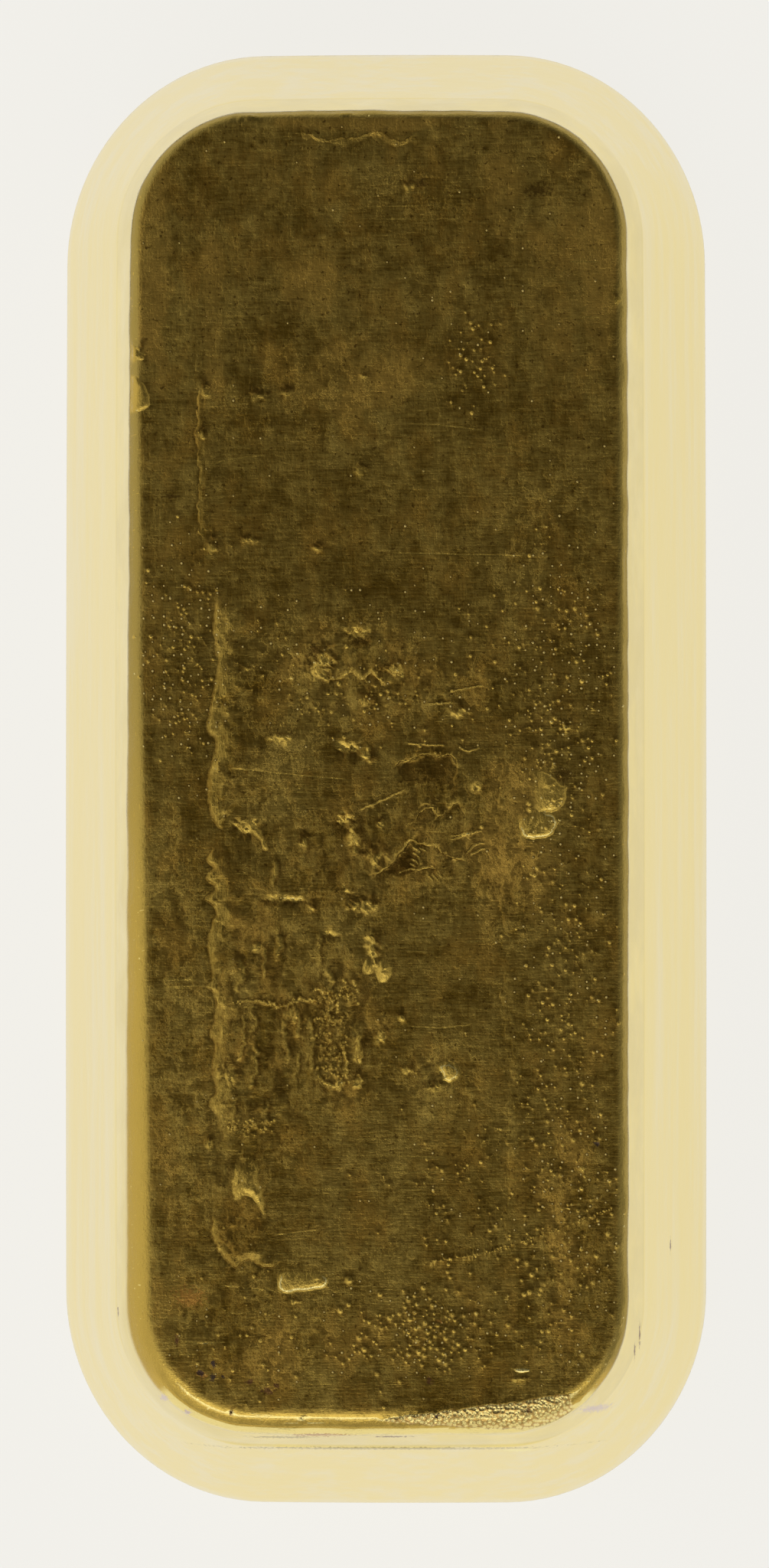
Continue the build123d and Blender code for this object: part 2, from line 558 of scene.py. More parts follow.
class Blob:
    """A crumbly blob of metal, or a crater where the rise is negative, with no sharp outline.

    Painted light: it is lighter on the side that the heading, in degrees, points to, with painted
    shade on the other side.
    """

    spacing = 0.11

    def __init__(self, x, y, half_x, half_y, rise, seed, clean=0.3, heading=None):
        self.middle = np.array([x, y])
        self.half = np.array([half_x, half_y])
        self.rise, self.seed, self.clean = rise, seed, clean
        # By default the painted light is on the side towards the front lamp; in a crater, on its
        # far wall
        if heading is None:
            heading = -90 if rise > 0 else 90
        self.heading = math.radians(heading)

    def samples(self):
        """Places where the skin needs points."""
        reach = 1.4 * self.half
        x, y = np.meshgrid(*(np.arange(-r, r, self.spacing) for r in reach))
        points = self.middle + np.stack([x.ravel(), y.ravel()], axis=1)
        return points[(((points - self.middle) / reach)**2).sum(1) < 1]

    def press(self, skin):
        """Adds the mark to the skin."""
        pad = 1.8 * self.half
        at = skin.near(self.middle - pad, self.middle + pad)
        x, y = skin.x[at], skin.y[at]
        u = (x - self.middle[0]) / self.half[0]
        v = (y - self.middle[1]) / self.half[1]
        wander = fractal(x, y, 0.42, 3, self.seed)
        crumbs = fractal(x, y, 0.2, 2, self.seed + 3)
        reach = np.hypot(u, v) + 0.9 * wander
        body = smoothstep(1.15, 0.65, reach)
        skin.rise[at] += self.rise * body * (1 + 0.6 * crumbs)
        # Painted light on the side the heading points to, painted shade on the other
        ahead = u * math.cos(self.heading) + v * math.sin(self.heading)
        lit = smoothstep(-0.6, 0.5, ahead + wander)
        painted_lit_side = 1.5 * self.clean * body * lit * (1 + 0.5 * crumbs)
        skin.brighten(at, np.minimum(painted_lit_side, 0.7))
        skin.darken(at, 0.75 * smoothstep(1.7, 0.9, reach) * (1 - lit))


def scatter(rng, count, middle, reach, radius, taken):
    """Beads strewn round a place, thinning outwards, clear of the places that are taken."""
    made = []
    for _ in range(count * 3):
        if len(made) == count:
            break
        x, y = np.asarray(middle) + rng.normal(0, 0.5, 2) * reach
        r = radius[0] + (radius[1] - radius[0]) * rng.random()**1.8
        if any((x - tx)**2 + (y - ty)**2 < (r + tr)**2 for tx, ty, tr in taken):
            continue
        taken.append((x, y, r))
        made.append(Bead(x, y, r, r * rng.uniform(0.35, 0.65), 0.6 * rng.uniform(0.4, 1.4)))
    return made


def trail(rng, path, count, spread, radius, clean):
    """Crumbs strewn along a path, some of them touching."""
    line = spline(path, 0.05)
    places = line[rng.integers(0, len(line), count)] + rng.normal(0, 1, (count, 2)) * spread
    made = []
    for x, y in places:
        r = radius[0] + (radius[1] - radius[0]) * rng.random()**1.5
        made.append(Bead(x, y, r, 0.7 * r, clean * rng.uniform(0.5, 1.3)))
    return made


def ribs():
    """Thin upright ribs and the crumbly seam low on the left, and the crust beside them."""
    seed = 31
    rng = np.random.default_rng(seed)
    made = []
    for x, high, low in (
        (-8.1, -10.8, -12.9), (-7.9, -14.1, -17.2), (-7.4, -13.8, -15.4), (-7.2, -16.0, -18.6),
        (-6.5, -10.2, -12.2), (-5.9, -9.0, -11.0), (-5.5, -14.4, -17.0), (-4.7, -13.9, -15.6),
        (-4.6, -16.4, -18.0), (-3.9, -14.4, -17.6), (-3.3, -9.4, -11.5), (-3.2, -13.9, -15.2),
        (-8.3, -19.0, -21.0), (-6.3, -19.2, -20.6), (-6.0, -5.2, -6.8), (-2.9, -11.6, -13.0),
    ):
        bend = rng.uniform(-0.3, 0.3, 2)
        middle = (high + low) / 2
        path = [(x, high), (x + bend[0], middle), (x + bend[1], low)]
        made.append(Stroke(path, rng.uniform(0.13, 0.2), rng.uniform(0.07, 0.1), rag=0.2,
                           clean=0.35, shade=0.8, seed=x + high))
    seam = [(-8.4, -13.5), (-6.9, -13.45), (-5.6, -13.75), (-4.6, -13.35), (-3.2, -13.5)]
    made.append(Stroke(seam, 0.1, 0.08, rag=0.14, clean=0.6, shade=0.7, seed=3))
    for path, count, spread, radius, clean in (
        (seam, 60, 0.07, (0.04, 0.1), 0.7),
        ([(-3.5, -12.9), (-2.6, -13.3), (-1.6, -12.6), (-1.4, -13.4)], 60, 0.22, (0.05, 0.13), 0.7),
        ([(-3.4, -14.2), (-2.9, -16.0), (-2.8, -17.8)], 80, 0.25, (0.04, 0.12), 0.5),
        ([(-2.3, -14.0), (-2.1, -15.8), (-1.9, -18.2)], 70, 0.2, (0.04, 0.12), 0.5),
        ([(-8.6, -20.3), (-7.4, -20.9), (-6.3, -20.6)], 50, 0.25, (0.05, 0.12), 0.6),
    ):
        made += trail(rng, path, count, spread, radius, clean)
    for path, half_width, rise in (
        ([(-2.6, -13.6), (-2.9, -14.1), (-2.6, -14.6), (-2.2, -14.5)], 0.12, 0.1),
        ([(-3.5, -17.6), (-3.1, -18.2), (-2.5, -18.4), (-2.2, -18.1)], 0.14, 0.12),
        ([(-2.0, -16.4), (-1.8, -17.2), (-1.9, -17.9)], 0.12, 0.09),
        ([(-1.1, -15.3), (-1.15, -16.6), (-1.1, -17.2)], 0.2, 0.1),
    ):
        made.append(Stroke(path, half_width, rise, rag=0.1, clean=0.7, shade=0.8,
                           seed=half_width * 90))
    return made


def laps():
    """The long frozen-over edges down the left side, and the sheets on the right."""
    upper = [(-10.4, 22.4), (-10.5, 20.6), (-10.6, 18.9), (-10.4, 17.1), (-10.5, 15.3),
             (-10.3, 13.3)]
    middle = [(-9.4, 10.0), (-9.5, 8.2), (-9.3, 6.0), (-9.7, 3.8), (-9.9, 2.4), (-9.4, 1.7),
              (-9.7, 0.3), (-9.9, -0.7), (-9.8, -2.0), (-9.4, -3.3), (-8.7, -3.4)]
    scalloped = [(-9.4, -4.2), (-9.9, -5.2), (-9.5, -5.7), (-10.0, -6.3), (-9.4, -6.9),
                 (-10.0, -7.5), (-9.4, -8.2), (-9.6, -9.0), (-9.9, -10.0), (-9.7, -11.3),
                 (-9.6, -12.2), (-9.95, -12.6), (-9.5, -13.1), (-9.4, -13.8), (-9.5, -14.6),
                 (-9.75, -15.4), (-9.4, -16.0), (-9.6, -17.0), (-9.6, -17.8), (-9.3, -18.5),
                 (-9.8, -19.5), (-9.3, -20.1), (-9.5, -20.9)]
    lower = [(-9.5, -25.8), (-9.7, -26.6), (-9.4, -27.6), (-8.9, -28.3), (-8.3, -28.9),
             (-7.6, -28.5), (-6.6, -28.9), (-5.6, -28.6)]
    broad = [(7.2, 0.9), (7.0, -2.0), (7.1, -4.6), (7.2, -6.4), (7.1, -9.2), (7.9, -9.9)]
    upper_lobe = [(8.6, -0.2), (9.6, -0.15), (10.1, -0.4), (10.5, -0.8), (10.9, -1.1),
                  (10.85, -1.7), (10.6, -2.1), (10.2, -2.4), (9.6, -2.5), (8.6, -2.4)]
    lower_lobe = [(8.4, -2.5), (9.9, -2.5), (10.35, -3.0), (10.2, -3.6), (9.8, -3.9),
                  (8.9, -4.05), (8.3, -3.8)]
    right_edge = [(7.3, -10.5), (7.2, -14.0), (7.6, -17.5), (7.3, -21.0), (7.5, -24.5),
                  (7.2, -28.5)]
    return [
        Ledge(upper, 0.04, 0.4, 1.2, rag=0.15, clean=0.1, seed=1),
        Ledge(middle, 0.15, 0.9, 1.6, seed=2),
        Ledge(scalloped, 0.15, 0.75, 1.6, clean=0.22, seed=3),
        Ledge(lower, 0.14, 0.35, 1.2, rag=0.16, clean=0.25, seed=4),
        Ledge([(2.2, 37.0), (1.15, 36.6), (0.0, 37.1), (-1.5, 36.8), (-3.3, 36.7), (-4.6, 37.3)],
              -0.04, 0.25, 0.6, rag=0.14, clean=0.15, seed=6),
        Ledge(right_edge, 0.03, 0.4, 0.8, rag=0.35, clean=0.0, seam=0.1, seed=5),
        Ledge(broad, 0.03, 0.35, 0.8, rag=0.25, clean=0.0, seam=0.1, seed=7),
        Sheet(upper_lobe, 0.12, 0.3, rag=0.1, clean=0.7, cover=0.45, grit=0.8, seed=8,
              hinge=(8.4, -1.2, 0, 1.6)),
        Sheet(lower_lobe, 0.12, 0.32, rag=0.1, clean=0.9, cover=0.45, grit=0.6, seed=9,
              hinge=(8.2, -2.6, -60, 0.9)),
    ]


def cracks():
    """The fan of torn edges right of the middle, its hatching, and the pocket above it."""
    pocket = [(1.0, 0.2), (1.6, 0.6), (2.0, 0.4), (2.8, 0.8), (4.1, 0.85), (4.5, 0.3), (4.6, -0.3),
              (4.4, -1.0), (3.4, -0.7), (2.4, -0.75), (1.5, -0.6)]
    pocket_top = [(0.9, 0.1), (1.3, 0.5), (1.6, 0.4), (2.1, 0.7), (2.9, 0.85), (3.4, 0.7),
                  (4.1, 0.85), (4.5, 0.5), (4.6, 0.1)]
    fan = [(-0.6, -6.2), (0.1, -6.0), (0.55, -5.75), (1.0, -5.4), (1.2, -5.0), (1.45, -4.65),
           (1.9, -4.2), (2.4, -4.35), (3.3, -4.5), (3.7, -4.8), (4.3, -5.1), (5.2, -5.35)]
    inner = [(1.2, -6.1), (1.7, -5.8), (2.3, -5.9), (2.8, -5.75), (3.4, -5.8), (3.6, -6.1)]
    knot = [(1.7, -3.4), (2.2, -3.1), (2.5, -2.4), (3.2, -2.2), (3.4, -2.8), (4.1, -2.4)]
    made = [
        # The recesses below carry painted shade over their bodies
        Sheet(pocket, -0.06, 0.13, rag=0.16, clean=0.08, shade=0.6, seam=0.0, knobs=0.5, seed=21),
        Ledge(pocket_top, 0.05, 0.07, 0.5, rag=0.08, clean=0.5, seed=29),
        Sheet([(1.9, -4.3), (1.2, -5.1), (0.4, -5.9), (1.2, -6.2), (2.0, -5.95), (2.4, -5.3)],
              -0.06, 0.2, clean=0.1, shade=0.9, seam=0.0, seed=27),
        Sheet([(2.2, -2.3), (3.3, -2.0), (3.4, -2.9), (2.6, -3.3), (1.9, -3.2)], -0.05, 0.15,
              rag=0.1, clean=0.2, shade=0.5, seam=0.0, seed=28),
        Ledge(fan, 0.08, 0.12, 0.7, rag=0.09, clean=0.5, seam=0.9, seed=23),
        Ledge(inner, 0.06, 0.1, 0.4, rag=0.08, clean=0.45, seam=0.9, seed=24),
        Ledge(knot, 0.07, 0.12, 0.4, rag=0.14, clean=0.4, seam=0.9, seed=25),
        Ledge([(4.1, -2.4), (4.5, -2.0), (5.0, -2.6), (5.0, -3.6), (5.3, -4.1)], 0.03, 0.2, 0.6,
              rag=0.1, seed=26),
    ]
    for path in (
        [(2.0, -4.5), (2.5, -4.8)], [(2.0, -4.8), (2.45, -5.15)], [(1.9, -5.1), (2.35, -5.5)],
        [(1.85, -5.4), (2.2, -5.7)], [(2.4, -4.5), (2.8, -4.8)], [(3.1, -6.0), (3.5, -6.4)],
        [(3.4, -5.95), (3.75, -6.3)], [(2.9, -6.1), (3.2, -6.5)], [(4.2, -4.1), (6.1, -3.5)],
        [(4.2, -3.9), (5.6, -3.6)], [(5.1, -4.9), (5.6, -4.4), (6.2, -4.2)],
        [(5.3, -5.0), (6.2, -4.5)], [(-1.2, -2.4), (0.6, -1.6), (1.7, -1.1)],
        [(1.6, 1.55), (2.6, 1.47), (4.0, 1.42)], [(2.8, 3.8), (3.8, 3.85), (4.4, 3.9)],
        [(4.7, 1.4), (5.2, 1.1), (5.9, 1.3)], [(4.0, 4.5), (5.2, 4.7), (6.2, 4.9)],
    ):
        made.append(Stroke(path, 0.065, 0.06, rag=0.05, clean=0.8, shade=0.9, seed=path[0][0]))
    return made


def flakes():
    """Blobs, bars and hooked flakes that stuck to the face, from back to front."""
    flap = [(-8.0, -22.1), (-8.3, -23.4), (-8.4, -24.9), (-7.6, -24.7), (-7.1, -25.1),
            (-6.6, -25.7), (-6.9, -23.8), (-7.1, -22.2)]
    pad = [(-5.75, -29.5), (-5.5, -29.15), (-4.4, -29.1), (-3.4, -29.15), (-2.95, -29.5),
           (-3.05, -30.0), (-3.7, -30.15), (-4.6, -30.25), (-5.5, -30.3), (-5.8, -30.0)]
    dross = [(0.4, -37.65), (2.5, -37.3), (4.8, -37.0), (6.9, -36.7), (8.7, -36.5),
             (10.5, -36.15), (11.1, -36.3), (11.25, -37.0), (10.7, -37.8), (9.6, -38.2),
             (8.3, -38.3), (5.2, -38.15), (2.5, -37.95), (0.8, -37.85)]
    hook = [(-8.1, -3.1), (-7.4, -3.0), (-6.9, -3.5), (-6.4, -4.5), (-6.6, -4.6), (-7.2, -3.8),
            (-7.9, -3.6)]
    left_drip = [(-14.7, 22.8), (-14.1, 22.9), (-13.5, 22.2), (-13.3, 21.2), (-13.9, 20.9),
                 (-14.6, 21.0)]
    blobs = (
        (-0.9, 22.9, 0.35, 0.2, 0.05, 31), (-1.0, 17.5, 0.3, 0.35, 0.05, 32),
        (-7.5, 13.4, 0.5, 0.25, 0.06, 33), (-5.4, 22.0, 0.4, 0.3, 0.04, 34),
        (-7.0, 21.8, 0.5, 0.35, 0.04, 35), (-10.0, 22.0, 0.3, 0.5, 0.05, 36),
        (-10.3, 19.5, 0.25, 0.4, 0.05, 37), (1.9, 34.0, 0.5, 0.25, 0.06, 38),
        (-3.6, 12.9, 0.4, 0.25, 0.06, 39), (-9.6, 13.0, 0.3, 0.5, 0.05, 40),
        (-1.1, 7.8, 0.6, 0.4, -0.18, 41, 1.0), (-3.2, 6.6, 0.6, 0.7, 0.17, 42, 0.8, -100),
        (-3.5, 5.8, 0.7, 0.5, 0.08, 43, 0.3), (1.0, 5.9, 0.5, 0.5, 0.17, 44, 0.8, -70),
        (-0.7, 4.1, 0.3, 0.4, 0.1, 45, 0.6, -120), (4.6, 3.4, 0.55, 0.4, 0.1, 46, 0.6, -80),
        (-1.95, 1.15, 0.28, 0.3, -0.1, 47, 0.9), (-1.4, 1.1, 0.26, 0.3, -0.1, 48, 0.9),
        (-0.5, 0.9, 0.25, 0.7, 0.08, 49, 0.5, 180), (-5.7, 1.9, 0.65, 0.25, 0.12, 50, 0.8),
        (5.8, -1.05, 0.3, 0.4, 0.12, 51, 0.9, 120), (-2.0, -3.0, 0.45, 0.4, -0.13, 52, 1.0),
        (-1.2, -3.9, 0.35, 0.7, 0.12, 53, 0.6, 200), (-0.1, -4.9, 0.6, 0.6, 0.08, 54, 0.4),
        (0.2, -3.1, 0.25, 0.4, 0.08, 55, 0.5), (-6.2, -7.5, 0.5, 0.25, -0.1, 56, 0.9),
        (-5.0, -7.6, 0.7, 0.2, -0.08, 57, 0.8), (-3.9, -8.0, 0.2, 0.4, 0.06, 58, 0.4),
        (-1.9, -7.1, 0.3, 0.25, -0.1, 59, 0.9), (-0.8, -7.8, 0.9, 0.45, 0.1, 60, 0.4, -80),
        (-2.7, -9.6, 0.4, 0.25, -0.1, 61, 0.8), (-0.2, -10.3, 0.33, 0.85, 0.14, 62, 0.9, 200),
        (-4.3, -4.1, 0.25, 0.5, 0.06, 63, 0.4), (-7.0, -10.2, 0.3, 0.25, 0.06, 64, 0.6),
        (0.2, -15.4, 0.3, 0.6, 0.06, 65, 0.5), (1.4, -14.4, 0.22, 0.25, 0.08, 66, 0.6),
        (1.7, -17.4, 0.4, 0.25, 0.09, 67, 0.6), (3.2, -18.3, 0.4, 0.3, 0.06, 68, 0.5, -70),
        (-1.1, -16.2, 0.26, 0.75, 0.1, 69, 0.45, -90), (-1.1, -18.0, 0.25, 0.5, 0.1, 70, 0.6, -90),
        (-2.2, -18.1, 0.25, 0.4, 0.09, 71, 0.6, -90), (-9.7, -21.6, 0.2, 0.25, 0.08, 72, 0.6),
        (-4.9, -30.8, 0.35, 0.13, 0.05, 73, 0.9), (8.2, -35.3, 0.4, 0.12, 0.06, 75, 0.9),
        (-7.8, 38.0, 0.7, 0.2, 0.06, 76, 0.2), (-14.1, 24.4, 0.5, 0.45, 0.05, 77, 0.4),
        (13.9, 27.4, 0.2, 0.3, 0.05, 78, 0.5), (-1.9, 38.2, 0.4, 0.2, 0.06, 79, 0.2),
        (-8.6, -17.5, 0.4, 0.8, 0.05, 80, 0.3), (-5.0, -14.0, 0.5, 0.6, 0.05, 81, 0.3),
        (10.9, 2.6, 0.3, 0.3, 0.06, 82, 0.5),
    )
    return [Blob(*row) for row in blobs] + [
        Sheet([(-0.95, -11.4), (-0.6, -11.0), (-0.2, -11.3), (-0.3, -11.8), (-0.7, -11.9)], 0.1,
              0.3, rag=0.1, clean=0.4, cover=0.45, knobs=0.5, soft=0.8, seed=83),
        Sheet([(-0.2, -11.6), (0.3, -11.1), (0.8, -11.5), (0.6, -12.2), (0.1, -12.3)], 0.13,
              0.4, rag=0.1, clean=0.6, cover=0.55, knobs=0.5, soft=0.8, seed=84),
        Sheet([(3.5, -17.2), (4.1, -17.0), (4.75, -17.5), (4.5, -18.0), (4.0, -18.1), (3.7, -17.7)],
              0.12, 0.4, rag=0.1, clean=0.9, cover=0.5, knobs=0.3, soft=0.8, seed=93),
        Blob(-7.6, -3.5, 0.6, 0.35, -0.12, 91, 0.9),
        Sheet(hook, 0.1, 0.22, rag=0.12, clean=0.4, cover=0.3, knobs=0.5, seed=85),
        Sheet(flap, 0.16, 0.42, rag=0.14, clean=0.7, cover=0.45, grit=0.5, knobs=0.5,
              hinge=(-7.6, -22.1, -95, 2.2), seed=86),
        Sheet(pad, 0.1, 0.34, rag=0.06, clean=1.0, cover=0.5, grit=1.0, soft=0.6,
              hinge=(-4.3, -28.9, -90, 0.6), seed=87),
        Sheet([(7.8, -34.75), (8.2, -34.65), (8.8, -34.7), (8.85, -34.85), (8.3, -34.95)], 0.05,
              0.15, rag=0.04, clean=1.0, cover=0.9, soft=0.8, seed=94),
        Sheet(dross, 0.07, 0.14, rag=0.1, clean=0.8, cover=0.9, dross=1.0, seed=88),
        Sheet(left_drip, 0.1, 0.3, rag=0.06, clean=0.45, cover=0.4, seed=89),
        Sheet([(-14.6, 24.9), (-14.0, 24.4), (-13.6, 23.9), (-14.3, 23.9), (-14.7, 24.1)], 0.08,
              0.2, rag=0.05, clean=0.4, cover=0.3, seed=92),
        Ledge([(-2.9, 5.2), (-2.2, 5.2), (-1.6, 5.6), (-1.0, 5.2), (-0.4, 5.5), (0.3, 4.9)], 0.1,
              0.25, 0.4, rag=0.1, clean=0.5, seed=90),
    ]


def scratches():
    """Handling scratches, and the faint torn line at the left."""
    lines = (
        [(-9.8, 17.6), (-8.8, 18.0), (-6.4, 18.3)], [(1.4, 20.1), (3.6, 20.0), (6.1, 19.7)],
        [(-10.8, -33.3), (-8.8, -33.2)],
        [(-8.6, 0.1), (-5.0, -0.3), (-1.5, -0.6)], [(1.8, -14.9), (3.6, -15.0), (5.5, -14.8)],
        [(-2.8, -30.3), (-1.2, -30.3)], [(0.5, 12.6), (8.8, 12.4)], [(-6.0, -27.0), (-3.4, -26.7)],
        [(9.5, -35.9), (10.9, -36.1), (11.6, -36.5)], [(-9.3, -29.9), (-5.2, -30.3)],
    )
    return [Stroke(path, 0.045, -0.012, clean=0.8) for path in lines]


def beads(seed):
    """Small round beads, thickest along the right side and near the front."""
    rng = np.random.default_rng(seed)
    taken = []
    made = []
    for count, middle, reach, radius in (
        (45, (5.6, 24.0), (1.6, 2.6), (0.05, 0.13)),
        (90, (-11.2, 6.5), (2.4, 6.5), (0.05, 0.12)),
        (45, (-6.5, 6.0), (5.0, 4.5), (0.05, 0.1)),
        (70, (-0.5, 4.5), (4.0, 2.6), (0.06, 0.13)),
        (60, (7.5, 5.0), (4.5, 6.0), (0.06, 0.12)),
        (130, (10.6, 4.0), (2.6, 9.0), (0.05, 0.15)),
        (150, (10.6, -12.0), (3.2, 11.0), (0.05, 0.12)),
        (130, (11.0, -26.0), (3.2, 9.0), (0.05, 0.16)),
        (50, (4.5, -24.0), (4.5, 5.0), (0.05, 0.12)),
        (130, (2.4, -32.6), (4.4, 2.2), (0.06, 0.18)),
        (60, (6.5, -31.0), (6.0, 5.0), (0.05, 0.13)),
        (40, (-7.5, -33.0), (4.0, 4.0), (0.05, 0.12)),
    ):
        made += scatter(rng, count, middle, reach, radius, taken)
    for x in np.linspace(-11.2, -9.4, 6):
        made.append(Bead(x + rng.uniform(-0.2, 0.2), 10.5 + rng.uniform(-0.3, 0.3), 0.1, 0.05))
    made += trail(rng, [(2.6, -28.6), (6.0, -28.0), (9.5, -27.0), (13.6, -25.4)], 90, 0.05,
                  (0.035, 0.06), 0.7)
    made.append(Bead(-1.7, -29.6, 0.26, 0.1, 0.5))
    for x, y in ((12.7, -21.7), (-8.5, -37.2), (3.4, -37.45), (8.7, -37.1)):
        made.append(Bead(x, y, 0.13, -0.07, 0.0))
    return made


# Soft ovals on the face: middle, reach along X and Y, and strength
ROUGH = (
    (-1.0, 5.5, 4.0, 3.2, 0.8), (-1.5, -5.0, 3.4, 3.6, 0.8), (-2.3, -15.0, 2.6, 4.5, 1.3),
    (-6.8, -15.0, 2.8, 7.5, 0.9), (3.4, -3.6, 2.8, 3.2, 0.9), (-8.2, -23.5, 2.2, 4.0, 0.7),
    (-7.5, -32.0, 4.5, 3.4, 0.4), (-5.5, 22.0, 5.0, 3.0, 0.1), (2.5, 33.5, 4.0, 1.6, 0.1),
    (-6.5, 2.0, 3.0, 8.0, 0.2), (11.3, -28.0, 1.9, 7.0, 0.5), (3.5, -18.0, 2.2, 2.0, 0.7),
    (-11.5, -14.0, 1.6, 12.0, 0.4), (11.0, 35.5, 1.6, 1.2, 0.1), (9.5, 12.0, 3.0, 6.0, 0.12),
    (7.4, -4.5, 1.9, 5.0, 0.6), (4.0, 5.0, 3.0, 1.6, 0.6),
)
SPECKLED = (
    (-11.2, 6.5, 2.8, 7.5, 0.5), (-1.0, 6.0, 9.0, 5.0, 0.2), (10.6, 4.0, 3.2, 10.0, 0.5),
    (10.8, -12.0, 3.0, 12.0, 0.3), (11.4, -26.0, 3.0, 9.0, 0.4), (2.4, -32.6, 5.5, 3.0, 0.45),
    (5.6, 24.0, 2.0, 3.0, 0.3), (5.0, -24.0, 6.0, 6.0, 0.12), (-7.5, -33.0, 5.0, 4.0, 0.12),
)
TANNED = (
    (8.2, -4.0, 2.2, 6.0, 0.8), (10.2, 29.0, 2.2, 6.5, 0.6), (4.2, -3.8, 2.2, 2.2, 0.5),
    (-4.5, 6.0, 1.2, 1.2, 0.6), (9.5, -16.0, 1.6, 6.0, 0.4), (-7.0, -14.0, 2.4, 7.0, 0.35),
    (9.0, 1.5, 2.5, 2.0, 0.6), (9.0, -1.9, 1.8, 2.3, 1.0), (-9.6, 27.0, 0.7, 6.0, 0.8),
    (7.5, 34.1, 1.4, 4.5, 0.7), (12.8, 30.0, 1.0, 8.0, 1.0), (-0.5, 23.0, 4.5, 2.4, 0.7),
    (-1.0, 37.8, 5.0, 0.8, 1.0), (-3.7, 28.0, 1.8, 1.8, 0.7), (-13.2, 30.0, 1.2, 7.5, 0.9),
    (-12.5, 8.0, 1.0, 10.0, 0.4), (11.5, -24.0, 2.4, 9.0, 0.5), (-12.2, -28.0, 1.4, 7.0, 0.5),
    (-4.0, -33.5, 4.5, 2.0, 0.5), (2.0, -31.0, 7.0, 1.5, 0.3),
)


def in_zones(x, y, zones, outer, inner, least=0.0, wander=0.0):
    """The strongest oval at each point; ovals fade from inner to outer, in reaches."""
    total = np.full(len(x), least)
    for middle_x, middle_y, reach_x, reach_y, strength in zones:
        away = np.hypot((x - middle_x) / reach_x, (y - middle_y) / reach_y)
        total = np.maximum(total, strength * smoothstep(outer, inner, away + wander))
    return total


def roughness(x, y):
    """How crusty the face is at each point, from nought up."""
    return in_zones(x, y, ROUGH, 1.35, 0.6)


def press_crust(skin, swell):
    """Slow undulation everywhere, and broken crust in the rough zones."""
    x, y = skin.x, skin.y
    slow = fractal(x, y, 6.0, 3, 1.0)
    ribs = fractal(x, y * 0.22, 0.8, 3, 2.0)
    crumbs = fractal(x, y * 0.4, 0.6, 4, 3.0)
    scales = fractal(x * 1.2, y * 0.45, 1.2, 3, 4.0)
    rough = roughness(x, y)
    crust = smoothstep(0.02, 0.16, crumbs) * 0.045 + smoothstep(0.05, 0.14, scales) * 0.04
    skin.rise += swell * (slow * 0.7 + ribs * 0.35) + rough * (crust - 0.035)
    skin.crust[:] = 0.15 + rough
    # Share of small cells that hold a bead too small to model
    skin.speckle = in_zones(x, y, SPECKLED, 1.3, 0.5, least=0.015)
    # Where the skin is a lighter, warmer brown
    skin.tan = in_zones(x, y, TANNED, 1.3, 0.7, wander=0.3 * fractal(x, y, 1.5))
    # Painted shade in the crust's hollows, in the rough zones
    skin.darken(np.arange(len(x)), np.minimum(rough, 1) * 0.6 * smoothstep(-0.02, -0.2, crumbs))
    skin.grit[:] = np.maximum(skin.grit, 0.3 + rough * 0.3)


def marks(seed):
    """Every mark on the narrow face."""
    return laps() + ribs() + cracks() + flakes() + scratches() + beads(seed)


# Building the skin

def plan_grid(half_x, half_y, spacing, rng):
    """Staggered grid over a rectangle, each point nudged a little."""
    rows = []
    row_gap = spacing * math.sqrt(3) / 2
    for i, y in enumerate(np.arange(-half_y, half_y, row_gap)):
        x = np.arange(-half_x, half_x, spacing) + (i % 2) * spacing / 2
        rows.append(np.stack([x, np.full(len(x), y)], axis=1))
    points = np.concatenate(rows)
    return points + rng.uniform(-0.18, 0.18, points.shape) * spacing


def thinned(points, gap):
    """Keeps one point in each small square."""
    _, keep = np.unique(np.round(points / gap).astype(int), axis=0, return_index=True)
    return points[np.sort(keep)]


def clear_of(points, others, gap):
    """Leaves out the points that share a square, or touch one, with any of the others."""
    taken = set()
    for i, j in np.round(others / gap).astype(int):
        taken.update((i + a, j + b) for a in (-1, 0, 1) for b in (-1, 0, 1))
    keep = [(i, j) not in taken for i, j in np.round(points / gap).astype(int)]
    return points[np.array(keep)]


def triangulate(points):
    """Triangles over plan points with a convex outline, all facing up."""
    made = geometry.delaunay_2d_cdt([Vector(p) for p in points], [], [], 0, 1e-7, True)
    origin = np.array([sources[0] for sources in made[3]])
    faces = origin[np.array(made[2])]
    a, b, c = (points[faces[:, i]] for i in range(3))
    area = (b[:, 0] - a[:, 0]) * (c[:, 1] - a[:, 1]) - (b[:, 1] - a[:, 1]) * (c[:, 0] - a[:, 0])
    faces[area < 0] = faces[area < 0][:, ::-1]
    return faces[np.abs(area) > 1e-9]


# Rings of points on the shoulder, in degrees of its round from the flat face: those inside
# the top's outer ring, that ring, and the walls' first ones
SHOULDER_TURNS = (0, 9, 18, 27, 36, 44, 51)
EDGE_TURN = 57
WALL_TURNS = (62, 67)
# Rings down the wall below the chill line, and round the pour rim
WALL_STEPS = 13
RIM_STEPS = 7
# Sides, in millimetres, of the squares that thin the marks' points and clear the rings of them
MARK_GAP = 0.035
RING_GAP = 0.08
# How far the marks' points stop short of the outer ring, in degrees of the shoulder's round
EDGE_MARGIN = 4
# Roughness from which the finer grid is used, and how far both grids keep off, in spacings
FINE_FROM = 0.2
GRID_GAP = 0.4
# How far the highest mark stays under the solid's top, in millimetres
TOP_GAP = 0.002


def wobble(x, y):
    """Unevenness of the shoulder's outer edge; it only ever draws the metal in."""
    return np.minimum(0.06 * fractal(x, y, 3.0, 3, 6.0) - 0.05, 0)


def lit_left(facing, y):
    """Painted light on the left shoulder, which is lighter towards the front."""
    return 0.4 * (smoothstep(0.35, 0.8, facing) * smoothstep(15, -15, y))


